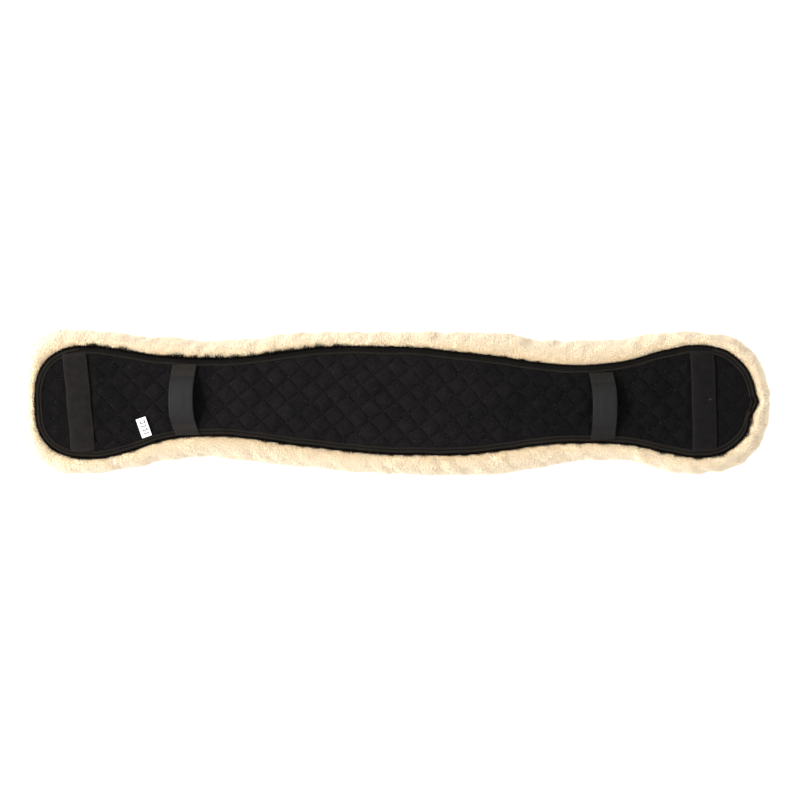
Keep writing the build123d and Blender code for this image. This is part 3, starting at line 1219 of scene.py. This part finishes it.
    def under_pile(self) -> list[bpy.types.Object]:
        """The pile under the cover, laid over by its own weight."""
        edge = self.shape.edge(self.around // 3)
        outward = self.shape.outward(edge)
        spine = self.shape.spine(edge)
        margin = self.margin(edge, outward)[:, None]
        flats = [spine + (edge - spine) * part for part in np.linspace(0.0, 1.0, 12)]
        flats += [edge + outward * margin * part for part in (0.2, 0.4, 0.6, 0.78, 0.88)]
        levels = [0.0034] * 14 + [0.0036, 0.0040, 0.0050]
        grid = np.array([stack(f[:, 0], f[:, 1], self.ground + z) for f, z in zip(flats, levels)])
        pieces = []
        for number in range(self.under_patches):
            patch = grid[:, self.columns(number, self.under_patches, len(edge))]
            swirl = 2.4 * Ripple(0.045, 92)(patch[..., 0], patch[..., 1])
            swirl += 0.8 * Ripple(0.015, 93)(patch[..., 0], patch[..., 1])
            cells = lattice(*patch.shape[:2], closed_around=False)
            ground = make_object("pile_ground", self.shape.lay(patch), cells)
            set_attribute(ground, "comb", stack(np.cos(swirl), np.sin(swirl), -0.40).reshape(-1, 3))
            # a little painted warm shade all over the pile under the cover
            for name, value in (("reach", 1.0), ("warm_shade", 0.25), ("rim", 0.2)):
                set_attribute(ground, name, np.full(patch.size // 3, value))
            values = self.under_tuft.values(self.wardrobe.pile, number)
            pieces.append(self.tufts.grow(ground, f"pile_under_{number + 1}", values))
        return pieces

    def settle(self, piece: bpy.types.Object) -> None:
        """Lay the lowest tips down on what the cover lies on, so that none reaches through it."""
        points = np.empty(len(piece.data.vertices) * 3)
        piece.data.vertices.foreach_get("co", points)
        above = points[2::3] - self.ground - self.give
        laid = self.give * np.exp(np.minimum(above, 0) / self.give) - self.give
        points[2::3] = np.where(above < 0, laid, above) + (self.ground + self.give)
        piece.data.vertices.foreach_set("co", points)
        piece.data.update()

    def build(self, dresser: Dresser) -> None:
        """Make the lining and its pile."""
        hide = dresser.keep(self.body(), self.wardrobe.hide, ["fleece_lining"])
        for piece in self.rim_pile() + self.under_pile():
            self.settle(piece)
            dresser.keep(piece, self.wardrobe.pile)


@dataclass
class QuiltedPad:
    """The pad's face, wadding and backing cloth, and the rows of quilting."""

    shape: PadShape
    quilting: Quilting
    bottom: float
    wardrobe: Wardrobe
    stitches: GrowTree
    tufts: GrowTree
    # half the width of the field that the layers are cut from
    half_field: float = 0.062
    face_thickness: float = 0.0007
    # how far inside the pad's edge each layer and the quilting end
    face_inset: float = 0.0050
    wadding_inset: float = 0.0060
    backing_inset: float = 0.0025
    quilting_inset: float = 0.0085
    quilting_thread: Thread = Thread(0.52, 0.00078)
    lint_tuft: Tuft = Tuft(13000.0, 0.00022, 0.0011, 1.2, 0.3, 500, 3)

    def slab(self, name: str, step: float, inset: float, lift: float, under: Callable) -> bpy.types.Object:
        """A closed layer whose top follows the quilting.

        Args:
            name: the piece's name.
            step: the size of its mesh's cells.
            inset: how far inside the pad's edge it ends.
            lift: how far its top lies above the face.
            under: the height of its underside at each place.

        Returns:
            The layer.
        """
        xs = np.arange(-self.shape.half_length, self.shape.half_length + step, step)
        ys = np.arange(-self.half_field, self.half_field + step, step)
        x, y = np.meshgrid(xs, ys, indexing="ij")
        inside = self.shape.depth_inside(x, y)
        kept = inside > inset
        cell = kept[:-1, :-1] & kept[1:, :-1] & kept[1:, 1:] & kept[:-1, 1:]
        top = stack(x, y, self.quilting.height(x, y, inside) + lift)
        base = stack(x, y, under(x, y, inside))
        number = np.arange(x.size).reshape(x.shape)
        corners = number[:-1, :-1], number[1:, :-1], number[1:, 1:], number[:-1, 1:]
        roof = np.stack([corner[cell] for corner in corners], -1)
        floor = roof[:, ::-1] + x.size
        sides = np.concatenate([roof[:, [i, (i + 1) % 4]] for i in range(4)])
        keys = {tuple(e) for e in sides.tolist()}
        walls = [(q, p, p + x.size, q + x.size) for p, q in keys if (q, p) not in keys]
        points = self.shape.lay(np.concatenate([top.reshape(-1, 3), base.reshape(-1, 3)]))
        faces = roof.tolist() + floor.tolist() + walls
        used = np.unique(np.array([i for f in faces for i in f]))
        renumber = np.zeros(len(points), int)
        renumber[used] = np.arange(len(used))
        made = make_object(name, points[used], [tuple(int(renumber[i]) for i in f) for f in faces])
        for row, direction in (("row_a", 1), ("row_b", -1)):
            phase = self.quilting.row_phase(x, y, direction).ravel()
            set_attribute(made, row, np.concatenate([phase, phase])[used])
        # painted shade towards the ends and painted loop shadows, for the cotton's colour
        set_attribute(made, "laid", np.tile(self.quilting.laid(x).ravel(), 2)[used])
        return made

    def build(self, dresser: Dresser) -> None:
        """Make the layers and their stitching."""
        face = self.slab(
            "quilt_face", 0.00125, self.face_inset, 0.0,
            lambda x, y, inside: self.quilting.height(x, y, inside) - self.face_thickness,
        )
        dresser.keep(face, self.wardrobe.quilt, ["quilt_face"])
        wadding = self.slab(
            "wadding_core", 0.0030, self.wadding_inset, -0.0019,
            lambda x, y, inside: np.full_like(x, self.bottom + 0.0010),
        )
        dresser.keep(wadding, self.wardrobe.wadding, ["wadding_core"])
        flat = Quilting(self.shape, self.bottom + 0.0009, puff=0.0, valley_below_top=0.0)
        lining = replace(self, quilting=flat).slab(
            "backing_cloth", 0.0040, self.backing_inset, 0.0,
            lambda x, y, inside: np.full_like(x, self.bottom + 0.0003),
        )
        dresser.keep(lining, self.wardrobe.lining, ["backing_cloth"])
        values = self.quilting_thread.values(self.wardrobe.thread)
        for direction, word in ((1, "rising"), (-1, "falling")):
            points, edges = self.quilting.row_lines(direction, self.quilting_inset)
            points[:, 2] += 0.00012
            line = make_object("rows", self.shape.lay(points), [], edges)
            rows = self.stitches.grow(line, f"quilting_thread_{word}", values)
            dresser.keep(rows, self.wardrobe.thread, [f"quilting_thread_{word}"])
        dresser.keep(self.lint(), self.wardrobe.lint)

    def lint(self) -> bpy.types.Object:
        """Specks of fluff caught in the quilting."""
        shape = (240, 40)
        reach = (0.365, 0.052)
        x, y = np.meshgrid(*(np.linspace(-r, r, n) for r, n in zip(reach, shape)), indexing="ij")
        inside = self.shape.depth_inside(x, y)
        ground = stack(x, y, self.quilting.height(x, y, inside) + 0.0001)
        depth = inside.ravel()
        cells = [f for f in lattice(*shape, closed_around=False) if min(depth[list(f)]) > 0.010]
        made = make_object("lint_ground", self.shape.lay(ground), cells)
        heading = 2.6 * Ripple(0.008, 131)(x, y)
        set_attribute(made, "comb", stack(np.cos(heading), np.sin(heading), 0.12).reshape(-1, 3))
        set_attribute(made, "reach", 0.5 + 0.5 * smooth(-0.5, 1.5, Ripple(0.05, 132)(x, y)).ravel())
        return self.tufts.grow(made, "lint", self.lint_tuft.values(self.wardrobe.lint))


@dataclass
class Binding:
    """Bias tape folded over the pad's edge, its two rows of stitching and the fuzz along its edge."""

    shape: PadShape
    top: float
    wardrobe: Wardrobe
    stitches: GrowTree
    tufts: GrowTree
    around: int = 1700
    # distance inside the pad's edge, height above the pad's top and how much painted shade it gets, most in
    # folds and underneath, once round the tape
    section: tuple = (
        (0.0079, -0.0026, 1.0),
        (0.0082, -0.0012, 1.0),
        (0.0079, 0.0001, 0.55),
        (0.0073, 0.0007, 0.0),
        (0.0065, 0.0008, 0.0),
        (0.0058, 0.0003, 0.5),
        (0.0053, -0.0006, 1.0),
        (0.0048, 0.0003, 0.5),
        (0.0041, 0.0008, 0.0),
        (0.0031, 0.0009, 0.0),
        (0.0023, 0.0005, 0.5),
        (0.0014, -0.0004, 0.9),
        (0.0005, -0.0016, 1.0),
        (-0.0001, -0.0030, 1.0),
        (0.0000, -0.0046, 1.0),
        (0.0008, -0.0060, 1.0),
        (0.0030, -0.0066, 1.0),
        (0.0064, -0.0064, 1.0),
        (0.0070, -0.0040, 1.0),
    )
    lap_angles: tuple = (math.radians(-12.0), math.radians(5.0))
    lap_thickness: float = 0.0004
    # each row of stitches: distance inside the pad's edge, and height above the pad's top
    rows: tuple = ((0.0053, -0.0003), (0.0080, 0.0001))
    stitches_round: int = 544
    thread: Thread = Thread(0.75, 0.00055)
    fibres: Tuft = Tuft(1450000.0, 0.00045, 0.0048, 0.5, 0.65, 400)

    def sweep(self, name: str, columns: Array, grow: float, closed: bool) -> bpy.types.Object:
        """Carry the section along part of the edge.

        Args:
            name: the piece's name.
            columns: which of the edge's points it passes.
            grow: how far the section swells, for tape that lies over tape.
            closed: whether it runs all the way round.

        Returns:
            The tape.
        """
        edge = self.shape.edge(self.around)
        outward = self.shape.outward(edge)
        walk = np.arange(self.around) * 1.0
        bump = self.shape.kink(edge[:, 0], edge[:, 1])
        # painted shade on the tape's outer roll along the upper edge, away from the ends
        upper_roll_shade = 0.8 * smooth(0.3, 0.9, outward[:, 1]) * (np.abs(edge[:, 0]) < 0.33)
        rings, creases = [], []
        for number, (inset, rise, crease) in enumerate(self.section):
            # painted shade in the tape's folds and grooves and over its sides and underside
            creases.append(np.maximum(crease, upper_roll_shade * (inset < 0.0045)))
            pucker = Ripple(0.0085, 100)(edge[:, 0], edge[:, 1] * 1.3 + inset * 2) * 0.00020
            wander = Ripple(0.035, 101)(edge[:, 0], edge[:, 1] + inset) * 0.00025
            groove = 0.00018 * np.sin(walk * 2 * math.pi / 3.0) if 5 <= number <= 7 else 0.0
            shift = bump * (1.0 if inset < 0.005 else 0.45)
            flat = edge - outward * (inset + wander - shift - grow * (inset < 0.003))[:, None]
            lift = grow * (0.5 if rise < -0.006 else 1.0)
            height = self.top + rise + pucker + groove + lift * (rise > -0.002)
            rings.append(stack(flat[:, 0], flat[:, 1], height))
        sheet = np.array(rings)[:, columns].transpose(1, 0, 2)
        size = (len(columns), len(self.section))
        faces = lattice(*size, closed_rings=True) if closed else tube(*size)
        made = make_object(name, self.shape.lay(sheet), faces)
        set_attribute(made, "crease", np.array(creases)[:, columns].T.ravel())
        return close_up(made)

    def tape(self) -> bpy.types.Object:
        """The whole tape, with its lapped end."""
        edge = self.shape.edge(self.around)
        angle = np.arctan2(edge[:, 1], edge[:, 0] - self.shape.end_x)
        start, stop = self.lap_angles
        lap = np.flatnonzero((angle > start) & (angle < stop) & (edge[:, 0] > 0))
        ring = self.sweep("edge_binding", np.arange(self.around), 0.0, True)
        end = self.sweep("binding_end", lap, self.lap_thickness, False)
        return join_objects("edge_binding", [ring, end])

    def thread_line(self, inset: float, rise: float) -> bpy.types.Object:
        """A closed line round the tape at one distance inside its edge."""
        edge = self.shape.edge(self.stitches_round)
        flat = edge - self.shape.outward(edge) * inset
        flat[:, 0] += self.shape.kink(edge[:, 0], edge[:, 1]) * 0.45
        points = stack(flat[:, 0], flat[:, 1], self.top + rise)
        return make_object("line", self.shape.lay(points), [], chain(len(edge), closed=True))

    def fuzz_ground(self) -> bpy.types.Object:
        """A thin strip along the tape's outer edge, thick with fibres where the seam is ragged."""
        edge = self.shape.edge(900)
        outward = self.shape.outward(edge)
        x, upper, under = edge[:, 0], edge[:, 1] > 0, edge[:, 1] < 0
        top_left = smooth(-0.36, -0.30, x) * (1 - smooth(-0.10, 0.03, x)) * upper
        low_right = smooth(0.18, 0.24, x) * under
        centre = 0.45 * (np.abs(x) < 0.15) * upper
        patchy = smooth(-0.4, 0.9, Ripple(0.014, 111)(x, edge[:, 1]))
        lower = 0.45 * under
        ragged = np.maximum(np.maximum(top_left, low_right), np.maximum(centre, lower))
        reach = 0.25 + 0.25 * top_left + 0.90 * ragged * patchy
        rings = []
        for inset, rise in ((0.0026, 0.0006), (0.0010, -0.0003), (-0.0002, -0.0022)):
            flat = edge - outward * inset
            flat[:, 0] += self.shape.kink(edge[:, 0], edge[:, 1])
            rings.append(stack(flat[:, 0], flat[:, 1], self.top + rise))
        made = make_object("fuzz_ground", self.shape.lay(np.array(rings)), lattice(3, len(edge)))
        comb = np.concatenate([outward, np.full((len(edge), 1), 0.62)], -1)
        set_attribute(made, "comb", np.tile(comb, (3, 1)))
        set_attribute(made, "reach", np.tile(reach, 3))
        return made

    def build(self, dresser: Dresser) -> None:
        """Make the tape, its stitching and its fuzz."""
        dresser.keep(self.tape(), self.wardrobe.binding, ["edge_binding"])
        values = self.thread.values(self.wardrobe.thread)
        rows = [
            self.stitches.grow(self.thread_line(*row), f"binding_row_{number}", values)
            for number, row in enumerate(self.rows)
        ]
        thread = join_objects("binding_thread", rows)
        dresser.keep(thread, self.wardrobe.thread, ["binding_thread"])
        fibres = self.fibres.values(self.wardrobe.fuzz)
        fuzz = self.tufts.grow(self.fuzz_ground(), "binding_fuzz", fibres)
        dresser.keep(fuzz, self.wardrobe.fuzz)


@dataclass
class HookStrip:
    """Hook tape sewn across the pad near one end."""

    side: Side
    shape: PadShape
    wardrobe: Wardrobe
    stitches: GrowTree
    hooks: GrowTree
    width: float = 0.025
    tape_thickness: float = 0.0010
    field_width: float = 0.0200
    edge_row_inset: float = 0.0012
    hook_pitch: float = 0.00135
    hook_height: float = 0.0010
    hook_wire: float = 0.00016
    stations: int = 90
    tuck: float = 0.0010
    thread: Thread = Thread(0.75, 0.00045)
    fibre: Thread = Thread(1.3, 0.0003)
    tilt: dict = field(
        default_factory=lambda: {Side.LEFT: math.radians(5.2), Side.RIGHT: math.radians(1.7)}
    )

    def __post_init__(self) -> None:
        """Read the strip's place from the frame."""
        low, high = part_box(f"hook_strip_{self.side.word}")
        self.centre = (low + high) / 2
        self.base = low.z - 0.0004
        lean = self.tilt[self.side]
        self.length = (high.y - low.y - self.width * math.sin(lean)) / math.cos(lean) + 2 * self.tuck

    def place(self, across: Array, along: Array, height: Array) -> Array:
        """Points given across, along and above the strip, moved to where it lies."""
        lean = self.tilt[self.side]
        wander = Ripple(0.05, 120 + self.side.value)(along, along * 0) * 0.0003
        bow = 0.0006 * np.cos(along / self.length * math.pi) + wander
        x = self.centre.x + (across + bow) * math.cos(lean) - along * math.sin(lean)
        y = self.centre.y + (across + bow) * math.sin(lean) + along * math.cos(lean)
        wave = Ripple(0.022, 122 + self.side.value)(x, y) * 0.00018
        droop = 0.0007 * smooth(0.043, 0.051, np.abs(along))
        return self.shape.lay(stack(x, y, self.base + height + wave - droop))

    def tape(self) -> bpy.types.Object:
        """The woven tape, a little raised where its hooks stand."""
        half, high = self.width / 2, self.tape_thickness
        field_edge = self.field_width / 2
        side = [
            (-half, 0.0),
            (-half - 0.0001, high * 0.5),
            (-half + 0.0003, high),
            (-field_edge - 0.0006, high),
            (-field_edge, high + 0.0004),
        ]
        crown = [(self.field_width * part, high + 0.0005) for part in (-0.3, 0.0, 0.3)]
        profile = np.array(side + crown + [(-across, height) for across, height in reversed(side)])
        rings = [
            self.place(profile[:, 0], np.full(len(profile), along), profile[:, 1])
            for along in np.linspace(-self.length / 2, self.length / 2, self.stations)
        ]
        faces = tube(len(rings), len(profile))
        return close_up(make_object(f"hook_strip_{self.side.word}", np.array(rings), faces))

    def hook_field(self) -> bpy.types.Object:
        """The rows of hooks."""
        across = np.arange(-self.field_width / 2, self.field_width / 2, self.hook_pitch)
        end = self.length / 2 - 0.0035
        along = np.arange(-end, end, self.hook_pitch)
        a, b = np.meshgrid(across, along, indexing="ij")
        b = b + (np.arange(len(across)) % 2 * self.hook_pitch / 2)[:, None]
        points = self.place(a.ravel(), b.ravel(), np.full(a.size, self.tape_thickness + 0.0003))
        ground = make_object("hook_ground", points, [])
        material = self.wardrobe.hook[self.side]
        values = {"Hook Height": self.hook_height, "Wire": self.hook_wire, "Material": material}
        return self.hooks.grow(ground, f"hooks_{self.side.word}", values)

    def row(self) -> bpy.types.Object:
        """The line of stitching round the tape's edge."""
        x, y = self.width / 2 - self.edge_row_inset, self.length / 2 - self.edge_row_inset
        corners = np.array([(-x, -y), (x, -y), (x, y), (-x, y), (-x, -y)])
        line = evenly(corners, self.stations)[:-1]
        points = self.place(line[:, 0], line[:, 1], np.full(len(line), self.tape_thickness + 0.0001))
        row = make_object("row", points, [], chain(len(line), closed=True))
        values = self.thread.values(self.wardrobe.thread)
        return self.stitches.grow(row, f"hook_strip_thread_{self.side.word}", values)

    def fluff(self) -> bpy.types.Object:
        """A stray fibre caught by the hooks."""
        turn = np.linspace(0.2, 3.4, 10)
        height = np.full(10, self.tape_thickness + 0.0013)
        points = self.place(0.0070 + 0.0016 * np.cos(turn), 0.0010 + 0.0013 * np.sin(turn), height)
        line = make_object("fluff_line", points, [], chain(len(points)))
        return self.stitches.grow(line, "fluff", self.fibre.values(self.wardrobe.lint))

    def build(self, dresser: Dresser) -> None:
        """Make the tape, its hooks and its stitching."""
        word = self.side.word
        material = self.wardrobe.hook[self.side]
        dresser.keep(self.tape(), material, [f"hook_strip_{word}"])
        dresser.keep(self.hook_field(), material)
        dresser.keep(self.row(), self.wardrobe.thread, [f"hook_strip_thread_{word}"])
        if self.side is Side.RIGHT:
            dresser.keep(self.fluff(), self.wardrobe.lint)


@dataclass
class WebbingLoop:
    """An arched loop of webbing, sewn down at both ends."""

    side: Side
    shape: PadShape
    wardrobe: Wardrobe
    stitches: GrowTree
    thickness: float = 0.0014
    foot_length: float = 0.0080
    foot_bend: float = 0.0080
    ribs: int = 13
    rib_height: float = 0.00016
    slide: dict = field(default_factory=lambda: {Side.LEFT: -0.0026, Side.RIGHT: -0.0024})
    longer: dict = field(default_factory=lambda: {Side.LEFT: 0.0008, Side.RIGHT: -0.0012})
    bow: dict = field(default_factory=lambda: {Side.LEFT: -0.0052, Side.RIGHT: -0.0004})
    end_shift: dict = field(
        default_factory=lambda: {Side.LEFT: (-0.0016, 0.0018), Side.RIGHT: (-0.0041, -0.0020)}
    )
    stations: int = 150
    # the zigzag bar tacks: how far each is from the webbing's end, its points, half its depth, its thread
    tack_gaps: tuple = (0.0020, 0.0052)
    tack_points: int = 29
    tack_half: float = 0.0007
    thread: Thread = Thread(0.95, 0.00042)

    def __post_init__(self) -> None:
        """Read the loop's place from the frame."""
        low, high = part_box(f"loop_strap_{self.side.word}")
        self.centre_x = (low.x + high.x) / 2
        self.width = high.x - low.x
        self.foot = low.z
        self.half_span = (high.y - low.y) / 2
        self.rise = high.z - low.z - 0.0015

    def arch(self, y: Array) -> Array:
        """The height of the webbing's underside above its feet at each y."""
        half = self.half_span - self.foot_length
        turn = 2 * math.atan(self.rise / half)
        crown = half / math.sin(turn) - self.foot_bend
        away = np.abs(y)
        on_crown = self.rise - crown + np.sqrt(np.maximum(crown**2 - away**2, 0))
        on_bend = self.foot_bend - np.sqrt(np.maximum(self.foot_bend**2 - np.maximum(half - away, 0) ** 2, 0))
        return np.where(away < crown * math.sin(turn), on_crown, np.where(away < half, on_bend, 0.0))

    def middle(self, y: Array) -> Array:
        """The webbing's middle line along X at each y, bowed outwards and shifted at its ends."""
        share = y / self.half_span
        top_shift, low_shift = self.end_shift[self.side]
        ends = np.where(share > 0, top_shift, low_shift) * np.abs(share) ** 2.6
        return self.centre_x + self.bow[self.side] * (1 - np.abs(share) ** 2.6) + ends

    def strap(self) -> bpy.types.Object:
        """The webbing, with ribs along its length."""
        reach = self.half_span + self.longer[self.side]
        y = np.linspace(-reach, reach, self.stations)
        z = self.arch(y)
        tilt = np.arctan(np.gradient(z, y))
        across = np.linspace(-0.5, 0.5, self.ribs * 6 + 1)
        rib = self.rib_height * np.abs(np.sin(across * math.pi * self.ribs)) ** 0.7
        rib -= self.rib_height * 1.5 * smooth(0.47, 0.5, np.abs(across))
        sag = np.tile(0.0006 * (across * 2) ** 2, 2)
        thick = np.concatenate([self.thickness + rib, 0.0 - rib[::-1]])
        wide = np.concatenate([across, across[::-1]]) * self.width
        rings = []
        for at, height, lean in zip(y, z, tilt):
            raised = height / self.rise
            twist = 0.03 * math.sin(at / self.half_span * 2.4) * across * self.width
            up = thick - sag * raised
            lift = np.concatenate([twist, twist[::-1]]) * raised
            along = at - math.sin(lean) * up + self.slide[self.side]
            level = self.foot + height + math.cos(lean) * up + lift
            rings.append(stack(self.middle(at) + wide, along, level))
        size = (len(y), 2 * len(across))
        made = make_object(f"loop_strap_{self.side.word}", self.shape.lay(np.array(rings)), tube(*size))
        worn = smooth(0.55, 0.95, np.abs(np.repeat(y, size[1])) / self.half_span)
        set_attribute(made, "foot", worn)
        return close_up(made)

    def tack_lines(self) -> bpy.types.Object:
        """Zigzag lines of thread across the webbing's two sewn ends."""
        across = np.linspace(-0.5, 0.5, self.tack_points) * (self.width - 0.003)
        zigzag = np.where(np.arange(self.tack_points) % 2, self.tack_half, -self.tack_half)
        points, edges = [], []
        for end in (-1, 1):
            for gap in self.tack_gaps:
                y = end * (self.half_span + self.longer[self.side] - gap) + zigzag
                start = self.tack_points * len(points)
                edges += [(start + i, start + j) for i, j in chain(self.tack_points)]
                height = self.foot + self.thickness + 0.00015
                points.append(stack(self.middle(y) + across, y + self.slide[self.side], height))
        return make_object("tacks", self.shape.lay(np.array(points)), [], edges)

    def build(self, dresser: Dresser) -> None:
        """Make the webbing and the bar tacks at its ends."""
        word = self.side.word
        webbing = self.wardrobe.webbing[self.side]
        strap = dresser.keep(self.strap(), webbing, [f"loop_strap_{word}"], body="")
        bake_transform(strap)
        values = self.thread.values(self.wardrobe.thread)
        tacks = self.stitches.grow(self.tack_lines(), f"loop_tacks_{word}", values)
        dresser.keep(tacks, self.wardrobe.thread, [f"loop_tacks_{word}"])


@dataclass
class SizeLabel:
    """A small woven label, sewn in by its lower edge."""

    shape: PadShape
    wardrobe: Wardrobe
    stitches: GrowTree
    width: float = 0.0104
    length: float = 0.0204
    thickness: float = 0.0004
    tilt: float = math.radians(19.3)
    # the marks: where each starts and ends along the label, then their middle, hole and half width
    marks: tuple = ((0.14, 0.24), (0.32, 0.44), (0.52, 0.62), (0.70, 0.86))
    mark_middle: float = 0.04
    mark_halves: tuple = (0.13, 0.27)
    thread: Thread = Thread(0.8, 0.00045)

    def place(self, across: Array, along: Array, height: Array) -> Array:
        """Points given across, along and above the label, moved to where it lies."""
        hinge = next(j for j in frame["joints"] if j["child"] == "label")
        at = hinge["pos_m"]
        x = at[0] + across * math.cos(self.tilt) - along * math.sin(self.tilt)
        y = at[1] + across * math.sin(self.tilt) + along * math.cos(self.tilt)
        return stack(x, y + self.shape.sway_at(np.array(at[0])), at[2] + height)

    def flap(self) -> bpy.types.Object:
        """The label's free flap, slightly curled, with its marks as an attribute."""
        a, b = np.meshgrid(np.linspace(-0.5, 0.5, 42), np.linspace(0, 1, 82), indexing="ij")
        curl = 0.0007 * b**3 + 0.0003 * (2 * a) ** 2 * b
        across, along, half = a * self.width, 0.0004 + b * self.length, self.thickness / 2
        skins = [self.place(across, along, lift + curl) for lift in (half, -half)]
        roof = lattice(*a.shape, closed_around=False)
        floor = [tuple(v + a.size for v in f[::-1]) for f in roof]
        number = np.arange(a.size).reshape(a.shape)
        legs = number[:, 0], number[-1, 1:], number[-2::-1, -1], number[0, -2:0:-1]
        rim = np.concatenate(legs).tolist()
        walls = [(p, q, q + a.size, p + a.size) for p, q in zip(rim, rim[1:] + rim[:1])]
        made = make_object("size_label", np.array(skins), roof + floor + walls)
        hole, half_wide = self.mark_halves
        off = np.abs(a - self.mark_middle)
        mark = np.zeros(a.shape)
        for start, end in self.marks:
            mark += (b > start) & (b < end) & ((off > hole) | (b < start + 0.05)) & (off < half_wide)
        set_attribute(made, "mark", np.tile(np.clip(mark, 0, 1).ravel(), 2))
        return close_up(made)

    def build(self, dresser: Dresser) -> None:
        """Make the flap and the stitches at its sewn edge."""
        flap = dresser.keep(self.flap(), self.wardrobe.label, ["size_label"], body="label")
        across = np.linspace(-0.0048, 0.0048, 5)
        ends = self.place(across, across * 0 - 0.0008, across * 0 - 0.0003)
        line = make_object("label_line", ends, [], chain(len(ends)))
        thread = self.stitches.grow(line, "label_thread", self.thread.values(self.wardrobe.thread))
        dresser.keep(thread, self.wardrobe.thread, ["label_thread"])


@dataclass
class Studio:
    """A pale floor, soft light and a camera straight above the cover."""

    camera_height: float = 3.0
    frame_width: float = 0.830
    subject_height: float = 0.025
    aim: tuple = (0.0047, 0.0021)
    sensor: float = 36.0
    floor_glow: float = 0.50
    sky: float = 1.19
    lamp_power: float = 208.0
    lamp_size: float = 1.05
    lamp_at: tuple = (-3.0, 0.18, 2.78)
    lamp_aim: tuple = (0.05, 0.0, 0.0)

    def floor(self) -> None:
        """A plain white floor."""
        half = 3.0
        corners = np.array([(-half, -half, 0), (half, -half, 0), (half, half, 0), (-half, half, 0)], float)
        floor = make_object("floor", corners, [(0, 1, 2, 3)])
        make = ShaderMaker("floor_white", 0.95, 0.0)
        make.shader.inputs["Emission Color"].default_value = (1, 1, 1, 1)
        make.shader.inputs["Emission Strength"].default_value = self.floor_glow
        shade = make.noise(2.0, 1.0)
        floor.data.materials.append(make.finish(make.blend(shade, (0.90, 0.90, 0.90), (0.92, 0.92, 0.92))))

    def light(self) -> None:
        """A bright even sky and one large soft lamp on the left."""
        world = bpy.data.worlds.new("studio")
        world.use_nodes = True
        sky = world.node_tree.nodes["Background"].inputs
        sky["Color"].default_value = (1.0, 1.0, 1.0, 1.0)
        sky["Strength"].default_value = self.sky
        bpy.context.scene.world = world
        lamp = bpy.data.lights.new("key", "AREA")
        lamp.energy = self.lamp_power
        lamp.size = self.lamp_size
        key = bpy.data.objects.new("key", lamp)
        key.location = self.lamp_at
        towards = Vector(self.lamp_aim) - key.location
        key.rotation_euler = towards.to_track_quat("-Z", "Y").to_euler()
        bpy.context.scene.collection.objects.link(key)

    def camera(self) -> None:
        """A long lens that looks straight down."""
        lens = bpy.data.cameras.new("camera")
        lens.sensor_width = self.sensor
        lens.lens = self.sensor * (self.camera_height - self.subject_height) / self.frame_width
        lens.clip_end = 50.0
        camera = bpy.data.objects.new("camera", lens)
        camera.location = (*self.aim, self.camera_height)
        bpy.context.scene.collection.objects.link(camera)
        bpy.context.scene.camera = camera

    def build(self) -> None:
        """Set the studio up, with plain unfiltered tones."""
        self.floor()
        self.light()
        self.camera()
        bpy.context.scene.view_settings.view_transform = "Standard"


def main() -> None:
    """Build the cover's sub-assemblies in order."""
    logging.basicConfig(level=logging.INFO, format="%(name)s %(message)s")
    Studio().build()
    dresser, wardrobe = Dresser(), Wardrobe()
    stitches, tufts, hooks = stitch_tree(), tuft_tree(), hook_tree()
    pad_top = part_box("quilt_face")[1].z
    edge_low, edge_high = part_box("edge_binding")
    shape = PadShape(half_length=edge_high.x, half_centre=0.056)
    quilting = Quilting(shape, top=pad_top)
    tape_half, label_half = (0.0125, 0.060), (0.007, 0.010)
    for side in Side:
        strip_low, strip_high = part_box(f"hook_strip_{side.word}")
        loop_low, loop_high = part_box(f"loop_strap_{side.word}")
        for low, high, share in ((strip_low, strip_high, 0.75), (loop_low, loop_high, 0.45)):
            quilting.flat_places.append((((low.x + high.x) / 2, 0.0), tape_half, share))
        # the strength of the painted shadow just right of each loop
        quilting.loop_edges.append((loop_high.x - 0.002, 0.5 if side is Side.LEFT else 0.25))
    label_low, label_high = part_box("size_label")
    middle = (label_low + label_high) / 2
    quilting.flat_places.append(((middle.x, middle.y), label_half, 0.8))
    Fleece(shape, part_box("fleece_lining")[0].z, wardrobe, tufts).build(dresser)
    QuiltedPad(shape, quilting, edge_low.z, wardrobe, stitches, tufts).build(dresser)
    Binding(shape, pad_top, wardrobe, stitches, tufts).build(dresser)
    for side in Side:
        HookStrip(side, shape, wardrobe, stitches, hooks).build(dresser)
        WebbingLoop(side, shape, wardrobe, stitches).build(dresser)
    SizeLabel(shape, wardrobe, stitches).build(dresser)
    LOG.info("%d pieces", dresser.made)


if __name__ == "__main__":
    main()
